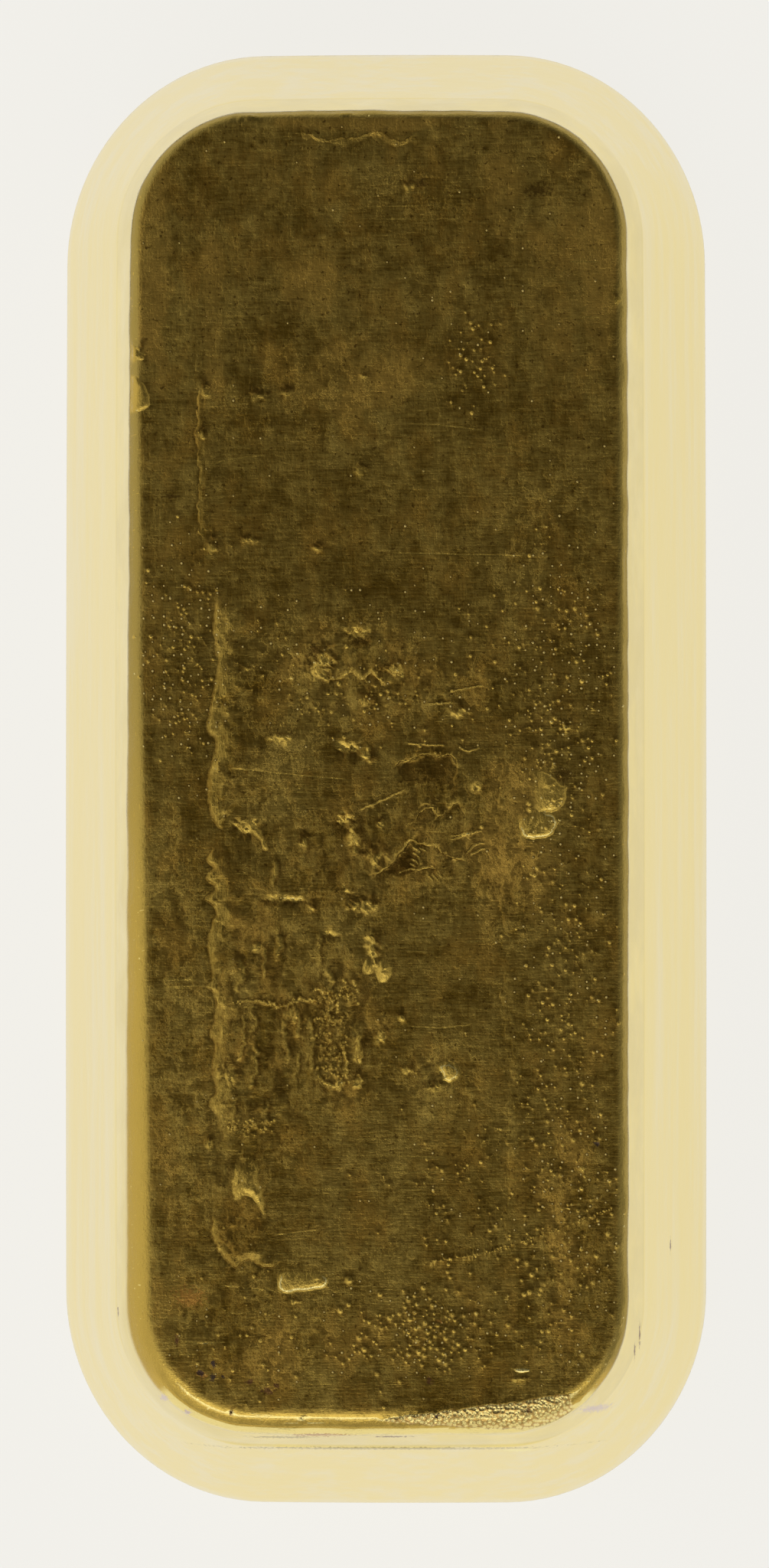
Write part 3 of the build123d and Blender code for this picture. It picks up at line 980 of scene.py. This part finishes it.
def build_top(form, skin_settings):
    """Points, faces and finish of the narrow face and the shoulder; the outer ring is first."""
    rng = np.random.default_rng(skin_settings.seed)
    edge, normals = form.stations(skin_settings.ring_grid / MM)
    radius, draft = form.shoulder(edge[:, 1], normals)
    flat_edge = edge - normals * (radius * np.tan((RIGHT_ANGLE - draft) / 2))[:, None]

    def ring(turn):
        """Points round the shoulder at this many degrees of its round."""
        out = flat_edge + normals * (radius * math.sin(math.radians(turn)))[:, None]
        return np.stack(form.bow(out[:, 0], out[:, 1]), axis=1)

    outer = ring(EDGE_TURN)
    rings = np.concatenate([ring(turn) for turn in SHOULDER_TURNS])
    all_marks = marks(skin_settings.seed)
    details = np.concatenate([np.asarray(mark.samples()) for mark in all_marks])
    details = details[inside(details[:, 0], details[:, 1], outer[::4])]
    details = thinned(details, MARK_GAP)
    outward = form.top(details[:, 0], details[:, 1])[2]
    place_normals = form.edge_places(details[:, 0], details[:, 1])[1]
    local_radius = form.shoulder(details[:, 1], place_normals)[0]
    details = details[outward < local_radius * math.sin(math.radians(EDGE_TURN - EDGE_MARGIN))]
    grids = []
    for spacing, rough in ((skin_settings.face_grid / MM, False),
                           (skin_settings.rough_grid / MM, True)):
        grid = plan_grid(form.half_x, form.half_y, spacing, rng)
        grid = grid[form.top(grid[:, 0], grid[:, 1])[2] < -GRID_GAP * spacing]
        grid = grid[(roughness(grid[:, 0], grid[:, 1]) > FINE_FROM) == rough]
        grids.append(clear_of(grid, details, GRID_GAP * spacing))
    plan = np.concatenate([outer, clear_of(rings, details, RING_GAP), details, *grids])
    z, surface, _ = form.top(plan[:, 0], plan[:, 1])
    skin = Skin(plan[:, 0], plan[:, 1])
    for mark in all_marks:
        mark.press(skin)
    press_crust(skin, skin_settings.swell / MM)
    lean = np.hypot(surface[:, 0], surface[:, 1])
    facing = -surface[:, :2] / np.maximum(lean, 0.01)[:, None]
    skin.shoulder = smoothstep(0.1, 0.4, lean)
    front = smoothstep(0.35, 0.8, facing[:, 1])
    # Painted highlight: the front shoulder is brightened in the band where the front lamp's
    # highlight falls, and painted light brightens its lower part
    painted_highlight_band = smoothstep(0.12, 0.22, lean) * smoothstep(0.55, 0.4, lean)
    everywhere = np.arange(len(plan))
    skin.brighten(everywhere, 0.9 * front * painted_highlight_band)
    skin.brighten(everywhere, front * smoothstep(0.52, 0.72, lean))
    # Painted light on the left shoulder
    skin.brighten(everywhere, lit_left(facing[:, 0], skin.y) * smoothstep(0.12, 0.3, lean))
    shaky = smoothstep(0.45, 0.8, lean)
    skin.rise += shaky * (wobble(skin.x, skin.y) - skin.rise)
    points = np.concatenate([plan, z[:, None]], axis=1) + surface * skin.rise[:, None]
    points[:, 2] = np.minimum(points[:, 2], form.height - TOP_GAP)
    return points, triangulate(plan), skin, len(outer)


def build_walls(form, ring_spacing):
    """Rings of points from the shoulder's outer ring down the walls and round the rim."""
    edge, normals = form.stations(ring_spacing)
    radius, draft = form.shoulder(edge[:, 1], normals)
    turn = RIGHT_ANGLE - draft
    # Share of the chill line's step that is spread out, at the corners and away from the front
    bend = smoothstep(0.05, 0.4, np.abs(normals[:, 0] * normals[:, 1]))
    bend = np.maximum(bend, 0.85 * (1 - smoothstep(0.5, 0.9, -normals[:, 1])))
    edge_inset = radius * np.tan(turn / 2)
    tangent = radius * np.sin(turn)
    levels = [radius * np.sin(np.minimum(math.radians(angle), turn))
              for angle in (EDGE_TURN, *WALL_TURNS)]
    shoulder_depth = radius * (1 - np.cos(turn))
    foot_depth = form.face_z - form.rim * (1 + np.sin(draft))
    near_line = (-0.5, -0.16, -0.1, -0.04, 0.02, 0.2, 0.6)
    line_depths = [form.chill_depth + step for step in near_line]
    first = [shoulder_depth, shoulder_depth * 0.5 + line_depths[0] * 0.5]
    lower = [line_depths[-1] + (foot_depth - line_depths[-1]) * t
             for t in np.linspace(0, 1, WALL_STEPS + 1)[1:]]
    for depth in first + line_depths + lower:
        levels.append(tangent + (depth - shoulder_depth) * np.tan(draft))
    rings = []
    for outward in levels:
        depth, tilt = form.drop(outward, radius, draft)
        below_line = smoothstep(form.chill_depth - 0.16, form.chill_depth, depth)
        smoothed = smoothstep(0, 4.5, depth)
        below_line = below_line + bend * (smoothed - below_line)
        out = outward + form.chill_step * below_line - edge_inset
        out = out + wobble(edge[:, 0], edge[:, 1]) * smoothstep(form.chill_depth - 0.7, 0.8, depth)
        plan = edge + normals * out[:, None]
        x, y = form.bow(plan[:, 0], plan[:, 1], depth * np.tan(draft))
        rings.append(np.stack([x, y, form.face_z - depth], axis=1))
    sharp_foot = form.face_z * np.tan(draft) + form.chill_step
    rim_centre = sharp_foot - form.rim * np.tan((RIGHT_ANGLE + draft) / 2)
    for swing in np.linspace(1, 0, RIM_STEPS + 1)[1:]:
        angle = -RIGHT_ANGLE + swing * (draft + RIGHT_ANGLE)
        out = rim_centre + form.rim * np.cos(angle)
        plan = edge + normals * out[:, None]
        x, y = form.bow(plan[:, 0], plan[:, 1], form.face_z * np.tan(draft))
        rings.append(np.stack([x, y, form.rim * (1 + np.sin(angle))], axis=1))
    return rings


def build_pour_face(form, ring, spacing, rng):
    """The wide face inside the rim's last ring: a flat band round a shallow sink."""
    half_x = np.abs(ring[:, 0]).max()
    half_y = np.abs(ring[:, 1]).max()
    grid = plan_grid(half_x, half_y, spacing, rng)
    grid = grid[inside(grid[:, 0], grid[:, 1], ring[:, :2] * (1 - 0.5 * spacing / half_x))]
    plan = np.concatenate([ring[:, :2], grid])
    oval = np.hypot(plan[:, 0] / (half_x - form.rest_band), plan[:, 1] / (half_y - form.rest_band))
    bowl = np.clip(1 - oval**2, 0, 1)
    z = form.sink * bowl
    z[:len(ring)] = 0
    return np.concatenate([plan, z[:, None]], axis=1), triangulate(plan)[:, ::-1]


def open_edges(mesh):
    """How many edges don't join exactly two faces."""
    uses = np.zeros(len(mesh.edges), int)
    edge_of_corner = np.zeros(len(mesh.loops), np.int32)
    mesh.loops.foreach_get("edge_index", edge_of_corner)
    np.add.at(uses, edge_of_corner, 1)
    return int((uses != 2).sum())


def build_skin(settings):
    """The whole closed skin as one mesh object."""
    form = Form(settings.ingot_bar)
    detail = settings.ingot_skin
    top, top_faces, skin, ring_count = build_top(form, detail)
    rings = build_walls(form, detail.ring_grid / MM)
    pour, pour_faces = build_pour_face(form, rings[-1], detail.pour_grid / MM,
                                       np.random.default_rng(detail.seed))
    ring_starts = [0]
    points = [top]
    total = len(top)
    for ring in rings[1:]:
        ring_starts.append(total)
        points.append(ring)
        total += len(ring)
    points.append(pour[ring_count:])
    here = np.arange(ring_count)
    after = np.roll(here, -1)
    quads = [
        np.stack([low + here, low + after, high + after, high + here], axis=1)
        for high, low in zip(ring_starts, ring_starts[1:])
    ]
    pour_index = np.concatenate([ring_starts[-1] + here, total + np.arange(len(pour) - ring_count)])
    vertices = np.concatenate(points) * MM
    faces = top_faces.tolist() + np.concatenate(quads).tolist() + pour_index[pour_faces].tolist()
    mesh = bpy.data.meshes.new("cast_skin")
    mesh.from_pydata(vertices.tolist(), [], faces)
    mesh.validate()
    mesh.shade_smooth()
    edge, normals = form.stations(detail.ring_grid / MM)
    # Painted light: the walls' first rings are brightened at the front, which faces the lamp, and
    # on the left towards the front
    front = smoothstep(0.35, 0.8, -normals[:, 1])
    edge_painted_light = np.maximum(front, lit_left(-normals[:, 0], edge[:, 1]))
    # The walls' first rings come after the top's points
    skin.face = np.append(np.ones(len(top)), np.repeat([0.9, 0.35], ring_count))
    skin.strip = np.append(np.zeros(len(top)), np.repeat([0.1, 0.6, 1, 1, 1, 1, 1], ring_count))
    skin.shoulder = np.append(skin.shoulder, np.ones(ring_count * 2))
    skin.clean = np.concatenate([skin.clean, edge_painted_light, edge_painted_light])
    for name in SHARES:
        values = getattr(skin, name)
        full = np.zeros(len(mesh.vertices), np.float32)
        full[:len(values)] = values
        mesh.attributes.new(name, "FLOAT", "POINT").data.foreach_set("value", full)
    piece = bpy.data.objects.new("cast_skin", mesh)
    bpy.context.scene.collection.objects.link(piece)
    return piece


# Shader maths

class Wire:
    """A node's output that takes part in arithmetic."""

    def __init__(self, recipe, socket):
        self.recipe = recipe
        self.socket = socket

    def sibling(self, name):
        """Another output of the same node."""
        return Wire(self.recipe, self.socket.node.outputs[name])

    def maths(self, operation, first, second):
        """Adds a node of arithmetic."""
        return self.recipe.node("ShaderNodeMath", {"operation": operation},
                                {0: first, 1: second})

    def __add__(self, other):
        return self.maths("ADD", self, other)

    def __sub__(self, other):
        return self.maths("SUBTRACT", self, other)

    def __rsub__(self, other):
        return self.maths("SUBTRACT", other, self)

    def __mul__(self, other):
        return self.maths("MULTIPLY", self, other)

    __radd__ = __add__
    __rmul__ = __mul__

    def at_most(self, other):
        """The smaller of the two."""
        return self.maths("MINIMUM", self, other)

    def at_least(self, other):
        """The larger of the two."""
        return self.maths("MAXIMUM", self, other)


class Recipe:
    """One node tree in the making."""

    def __init__(self, tree):
        self.tree = tree
        tree.nodes.clear()

    def node(self, kind, settings=None, inputs=None, output=0):
        """Adds a node: its settings first, then values or wires for its inputs."""
        made = self.tree.nodes.new(kind)
        for name, value in (settings or {}).items():
            setattr(made, name, value)
        for key, value in (inputs or {}).items():
            if isinstance(value, Wire):
                self.tree.links.new(value.socket, made.inputs[key])
            else:
                made.inputs[key].default_value = value
        return Wire(self, made.outputs[output]) if made.outputs else None

    def blend(self, share_wire, first, second):
        """A colour mix: first at nought, second at one."""
        inputs = {0: share_wire}
        for key, value in ((6, first), (7, second)):
            inputs[key] = value if isinstance(value, Wire) else (*value, 1.0)
        return self.node("ShaderNodeMix", {"data_type": "RGBA"}, inputs, output=2)

    def coats(self, base, *layers):
        """Colours laid over a base, each through its own mask."""
        for mask, shade in layers:
            base = self.blend(mask, base, shade)
        return base

    def ramp(self, wire, low, high):
        """Even rise from nought to one as the wire goes from low to high."""
        return self.node("ShaderNodeMapRange", {"interpolation_type": "SMOOTHSTEP"},
                         {0: wire, 1: low, 2: high, 3: 0.0, 4: 1.0})

    def stretched(self, place, scale):
        """Object coordinates scaled by a vector."""
        return self.node("ShaderNodeVectorMath", {"operation": "MULTIPLY"}, {0: place, 1: scale})

    def grain(self, place, scale, detail=3.0, roughness=0.55, distortion=0.0):
        """Noise from nought to one."""
        return self.node("ShaderNodeTexNoise", None, {
            "Vector": place, "Scale": scale, "Detail": detail, "Roughness": roughness,
            "Distortion": distortion})

    def oval(self, place, middle, half_sizes, noise_wire):
        """A ragged oval mask, seen from above; sizes are in millimetres."""
        shifted = self.node("ShaderNodeVectorMath", {"operation": "SUBTRACT"},
                            {0: place, 1: (middle[0] * MM, middle[1] * MM, 0.0)})
        scaled = self.stretched(shifted, (1 / (half_sizes[0] * MM), 1 / (half_sizes[1] * MM), 0.0))
        reach = self.node("ShaderNodeVectorMath", {"operation": "LENGTH"}, {0: scaled}, output=1)
        return 1 - self.ramp(reach + noise_wire * 3.0, 1.9, 2.7)

    def attribute(self, name):
        """A number kept with the mesh."""
        return self.node("ShaderNodeAttribute", {"attribute_name": name}, output=2)


RUST_ORANGE = (0.50, 0.25, 0.05)
OLIVE = (0.42, 0.33, 0.11)
GLINT = (0.98, 0.86, 0.34)
SOOT = (0.05, 0.035, 0.04)
BROWN = (0.16, 0.075, 0.03)
LILAC = (0.66, 0.53, 0.50)
SHADE = (0.14, 0.08, 0.015)
# Stains, painted shade (SHADE) and a painted glint (GLINT) seen from above, in millimetres:
# middle, half sizes and colour
STAINS_AND_PAINTED_LIGHT = (
    (-10.95, -30.6, 0.9, 0.6, RUST_ORANGE), (-10.2, -35.1, 0.35, 0.22, RUST_ORANGE),
    (-9.55, -34.45, 0.16, 0.2, SOOT), (-10.3, -35.0, 0.2, 0.18, SOOT),
    (-9.6, -35.25, 0.2, 0.22, SOOT), (-9.0, -35.2, 0.12, 0.12, SOOT),
    (-7.45, -35.5, 0.22, 0.16, BROWN), (-6.4, -36.0, 0.35, 0.2, BROWN),
    (-11.7, -33.1, 0.14, 0.3, BROWN), (-5.9, -35.7, 0.15, 0.15, BROWN),
    (3.55, -31.95, 0.2, 0.14, RUST_ORANGE), (12.7, -21.7, 0.16, 0.16, SOOT),
    (-8.5, -37.25, 0.15, 0.16, BROWN), (3.4, -37.45, 0.13, 0.13, SOOT),
    (8.7, -37.1, 0.2, 0.16, BROWN), (3.0, -35.4, 0.2, 0.2, BROWN),
    (-15.3, -31.6, 0.05, 0.35, BROWN), (15.2, -33.0, 0.05, 0.8, BROWN),
    (14.9, -33.9, 0.05, 0.5, BROWN), (17.1, -28.0, 0.05, 0.4, BROWN),
    (10.75, -0.3, 0.55, 0.4, SHADE), (-3.7, 6.9, 0.3, 0.5, SHADE),
    (2.5, 34.1, 0.4, 0.28, SHADE), (9.3, 33.7, 0.8, 0.4, SHADE), (-12.1, 15.9, 0.5, 0.12, SHADE),
    (-5.6, -38.8, 1.9, 0.08, OLIVE), (-3.4, -38.62, 1.7, 0.1, RUST_ORANGE),
    (0.4, -39.6, 9.5, 0.09, OLIVE), (8.0, -39.75, 1.0, 0.12, GLINT),
    (0.8, -38.75, 1.2, 0.05, BROWN), (-12.5, -36.5, 0.3, 0.22, LILAC),
    (-11.1, -37.3, 0.25, 0.15, LILAC), (12.6, -37.2, 0.9, 0.25, LILAC),
)


def bead_masks(mix, place, speckle):
    """Masks of the beads too small to model, and of painted shade round the foot of each."""
    drops = mix.node("ShaderNodeTexVoronoi", {"voronoi_dimensions": "2D"},
                     {"Vector": place, "Scale": 1900.0})
    draw = mix.node("ShaderNodeSeparateColor", None, {0: drops.sibling("Color")})
    here = mix.ramp(speckle - draw, -0.02, 0.02)
    edge = draw.sibling("Green") * 0.06 + 0.09
    bead = (1 - mix.ramp(drops - edge, -0.12, 0.03)) * here
    # Painted shade round each bead's foot
    ring = (1 - mix.ramp(drops - edge, 0.05, 0.12)) * here
    return bead, ring


def gold_material(finish):
    """Brushed, patchy gold on the face, and smooth bright gold on the walls."""
    material = bpy.data.materials.new("cast_gold")
    material.use_nodes = True
    mix = Recipe(material.node_tree)
    place = mix.node("ShaderNodeTexCoord", output=3)
    face, shoulder, strip, clean, grit, crust, dross, dirt, speckle, strand, tan = (
        mix.attribute(name) for name in SHARES)
    patches = mix.grain(place, 230.0, 5.0, 0.6)
    mottle = mix.grain(place, 1300.0, 4.0, 0.65)
    columns = mix.grain(mix.stretched(place, (1.0, 0.12, 1.0)), 520.0, 3.0)
    rows = mix.grain(mix.stretched(place, (0.1, 1.0, 1.0)), 700.0, 3.0)
    brush = mix.grain(mix.stretched(place, (0.1, 1.0, 1.0)), 8000.0, 3.0, 0.65)
    rake = mix.grain(mix.stretched(place, (1.0, 0.15, 1.0)), 8000.0, 3.0, 0.65)
    strands = mix.grain(mix.stretched(place, (1.0, 0.2, 1.0)), 5000.0, 4.0, 0.6, 1.2)
    sparkle = mix.grain(place, 6000.0, 2.0)
    flaking = mix.grain(mix.stretched(place, (1.0, 0.65, 1.0)), 1100.0, 6.0, 0.7)
    cells = mix.node("ShaderNodeTexVoronoi", {"voronoi_dimensions": "2D"},
                     {"Vector": place, "Scale": 4800.0})
    bead, bead_shade_ring = bead_masks(mix, place, speckle)

    weave = mix.ramp(patches * 0.18 + columns * 0.14 + rows * 0.1 + mottle * 0.2 + brush * 0.24
                     + rake * 0.14 + flaking * 0.15, 0.46, 0.71)
    warmth = mix.grain(mix.stretched(place, (1.0, 0.6, 1.0)), 420.0, 4.0, 0.6)
    pits = mix.ramp(mix.grain(place, 3300.0, 3.0, 0.6), 0.6, 0.68) * 0.75
    skin_colour = mix.coats(
        finish.deep, (weave, finish.skin),
        (mix.ramp(warmth, 0.46, 0.68) * 0.5, finish.warm),
        (mix.ramp(tan * 0.5 + warmth, 0.62, 1.05) * 0.7, finish.tan),
        # Painted shade from the marks and round the beads' feet, over random dark pits of dirt
        (dirt.at_least(pits).at_least(bead_shade_ring * 0.7), finish.dirt),
        (shoulder, finish.shoulder))
    handling = mix.grain(mix.stretched(place, (0.03, 1.0, 1.0)), 5200.0, 2.0)
    scuff = (mix.ramp(brush, 0.62, 0.74) * 0.3 + mix.ramp(rake, 0.62, 0.74) * 0.22
             + mix.ramp(handling, 0.64, 0.72) * mix.ramp(columns, 0.48, 0.6) * 0.5)
    strand_lines = strand * mix.ramp(strands, 0.42, 0.62) * 0.3
    tan_flakes = tan * mix.ramp(flaking, 0.4, 0.6) * 0.08
    # bright holds worn lips and scuffs, and the painted light of shoulders, top wall rings and
    # blobs
    bright = (clean + scuff + strand_lines + tan_flakes).at_most(1.0)
    face_colour = mix.coats(
        skin_colour, (mix.ramp(bright, 0.0, 0.6), finish.lip),
        (mix.ramp(bright, 0.75, 0.95), finish.clean), (bead, finish.bead),
        (dross * mix.ramp(cells, 0.3, 0.6), finish.dross))
    smear = mix.ramp(mix.grain(mix.stretched(place, (1.0, 0.08, 1.0)), 420.0, 5.0, 0.65), 0.4, 0.68)
    wall_colour = mix.coats(finish.clean, (smear, finish.dull),
                            (strip * mix.ramp(patches, 0.3, 0.7), finish.strip))
    base = mix.blend(face, wall_colour, face_colour)
    for x, y, half_x, half_y, spot_colour in STAINS_AND_PAINTED_LIGHT:
        spot = mix.oval(place, (x, y), (half_x, half_y), sparkle)
        base = mix.blend(spot * 0.85, base, spot_colour)

    rough = (finish.clean_roughness
             + face * (1 - bright.at_least(shoulder * 0.6))
             * (finish.skin_roughness - finish.clean_roughness)
             + face * (mottle - 0.5) * 0.2 + grit * 0.06)
    height = (face * (brush * 0.16 + rake * 0.16 + mottle * 0.4 + bead * 0.42)
              + crust * mix.ramp(flaking, 0.5, 0.58) * 0.35
              + crust * mix.ramp(flaking, 0.6, 0.64) * 0.25
              + strand * strands * 0.9
              + grit * sparkle * 0.35 + dross * cells * 0.5 + patches * 0.4)
    bump = mix.node("ShaderNodeBump", None,
                    {"Strength": 1.0, "Distance": 0.0001, "Height": height})
    shader = mix.node("ShaderNodeBsdfPrincipled", None, {
        "Base Color": base, "Metallic": 1.0, "Roughness": rough, "Normal": bump})
    mix.node("ShaderNodeOutputMaterial", None, {"Surface": shader})
    return material


def floor_material(studio):
    """Pale floor that keeps its colour to the camera and in reflections."""
    material = bpy.data.materials.new("floor")
    material.use_nodes = True
    mix = Recipe(material.node_tree)
    camera = mix.node("ShaderNodeLightPath", output="Is Camera Ray")
    glossy, through = camera.sibling("Is Glossy Ray"), camera.sibling("Is Transmission Ray")
    seen = camera.at_least(glossy).at_least(through)
    glow = mix.node("ShaderNodeEmission", None, {"Color": (*studio.floor, 1.0), "Strength": 1.0})
    plain = mix.node("ShaderNodeBsdfDiffuse", None, {"Color": (*studio.floor, 1.0)})
    shader = mix.node("ShaderNodeMixShader", None, {0: seen * studio.floor_glow, 1: plain, 2: glow})
    mix.node("ShaderNodeOutputMaterial", None, {"Surface": shader})
    return material


def build_world(studio):
    """A pale room: dim overhead, lighter to the left, with a dark flag high at the back."""
    world = bpy.data.worlds.new("studio")
    world.use_nodes = True
    bpy.context.scene.world = world
    mix = Recipe(world.node_tree)
    across = mix.node("ShaderNodeSeparateXYZ", None, {0: mix.node("ShaderNodeTexCoord")})
    along, up = across.sibling("Y"), across.sibling("Z")
    ends = mix.node("ShaderNodeMath", {"operation": "ABSOLUTE"}, {0: along})
    right_fall, end_fall, horizon_level = 0.25, 0.3, 0.94
    walls = studio.low_sky - across * right_fall - ends * end_fall
    overhead = mix.ramp(up, 0.78, 0.985)
    level = walls + overhead * (studio.high_sky - walls)
    flag = mix.ramp(along + across * 0.45, 0.06, 0.42) * mix.ramp(up, 0.5, 0.72)
    level = level * (1 - flag * studio.flag)
    horizon = 1 - mix.ramp(up, 0.0, 0.2)
    level = level + horizon * (horizon_level - level)
    room = mix.node("ShaderNodeBackground", None,
                    {"Color": (*studio.floor, 1.0), "Strength": level})
    mix.node("ShaderNodeOutputWorld", None, {"Surface": room})


def add_lamp(name, place, target, size, watts):
    """A soft rectangular lamp that faces a target; place and size are in metres."""
    data = bpy.data.lights.new(name, "AREA")
    data.shape = "RECTANGLE"
    data.size, data.size_y = size
    data.energy = watts
    lamp = bpy.data.objects.new(name, data)
    bpy.context.scene.collection.objects.link(lamp)
    lamp.location = place
    lamp.rotation_euler = (Vector(target) - Vector(place)).to_track_quat("-Z", "Y").to_euler()
    lamp.visible_camera = False


# The stage, in metres and radians: half the floor's side, and the front lamp
FLOOR_HALF = 3.0
LAMP_REACH = 0.8
LAMP_ANGLE = math.radians(53)
LAMP_SIZE = (0.9, 0.38)
LAMP_TARGET = (0, 0, 0.019)


def build_stage(studio):
    """Floor, room, lamp and camera."""
    half = FLOOR_HALF
    corners = [(-half, -half, 0), (half, -half, 0), (half, half, 0), (-half, half, 0)]
    mesh = bpy.data.meshes.new("floor")
    mesh.from_pydata(corners, [], [(0, 1, 2, 3)])
    mesh.materials.append(floor_material(studio))
    floor = bpy.data.objects.new("floor", mesh)
    bpy.context.scene.collection.objects.link(floor)
    build_world(studio)
    place = (0, -LAMP_REACH * math.cos(LAMP_ANGLE), LAMP_REACH * math.sin(LAMP_ANGLE))
    add_lamp("front_lamp", place, LAMP_TARGET, LAMP_SIZE, studio.lamp)
    top = CAD_HIGH.z
    data = bpy.data.cameras.new("camera")
    data.lens = data.sensor_width * studio.camera_gap / studio.picture_height
    camera = bpy.data.objects.new("camera", data)
    bpy.context.scene.collection.objects.link(camera)
    camera.location = (studio.camera_x, studio.camera_y, top + studio.camera_gap)
    back = (camera.location - Vector((studio.aim_x, studio.aim_y, top))).normalized()
    right = Vector((0, 1, 0)).cross(back).normalized()
    turned = Matrix((right, back.cross(right), back)).transposed()
    camera.rotation_euler = turned.to_euler()
    data.clip_start, data.clip_end = 0.01, 20.0
    bpy.context.scene.camera = camera
    bpy.context.scene.view_settings.view_transform = "Standard"


# Operators and panel

class INGOT_OT_stage(bpy.types.Operator):
    """Set up the floor, the room, the lamp and the camera"""

    bl_idname = "ingot.stage"
    bl_label = "Set the stage"

    def execute(self, context):
        build_stage(context.scene.ingot_studio)
        return {"FINISHED"}


class INGOT_OT_skin(bpy.types.Operator):
    """Build the bar's detailed skin in place of the plain solid"""

    bl_idname = "ingot.skin"
    bl_label = "Build the skin"

    def execute(self, context):
        piece = build_skin(context.scene)
        if open_edges(piece.data):
            raise RuntimeError("The skin isn't closed")
        piece.data.materials.append(gold_material(context.scene.ingot_finish))
        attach(piece, "root")
        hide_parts("ingot")
        return {"FINISHED"}


class INGOT_PT_panel(bpy.types.Panel):
    """Lists the steps and their settings"""

    bl_label = "Cast ingot"
    bl_idname = "INGOT_PT_panel"
    bl_space_type = "VIEW_3D"
    bl_region_type = "UI"
    bl_category = "Ingot"

    def draw(self, context):
        for operator, group in (("ingot.stage", "ingot_studio"), ("ingot.skin", "ingot_bar"),
                                ("", "ingot_skin"), ("", "ingot_finish")):
            box = self.layout.box()
            if operator:
                box.operator(operator)
            settings = getattr(context.scene, group)
            for name in settings.__annotations__:
                box.prop(settings, name)


GROUPS = {"ingot_bar": BarSettings, "ingot_skin": SkinSettings,
          "ingot_finish": FinishSettings, "ingot_studio": StudioSettings}
CLASSES = (*GROUPS.values(), INGOT_OT_stage, INGOT_OT_skin, INGOT_PT_panel)


def register():
    """Registers the settings, the operators and the panel."""
    for entry in CLASSES:
        bpy.utils.register_class(entry)
    for name, group in GROUPS.items():
        setattr(bpy.types.Scene, name, PointerProperty(type=group))


def unregister():
    """Takes away what register added."""
    for name in GROUPS:
        delattr(bpy.types.Scene, name)
    for entry in reversed(CLASSES):
        bpy.utils.unregister_class(entry)


def main():
    """Builds everything."""
    register()
    bpy.ops.ingot.stage()
    bpy.ops.ingot.skin()


if __name__ == "__main__":
    main()
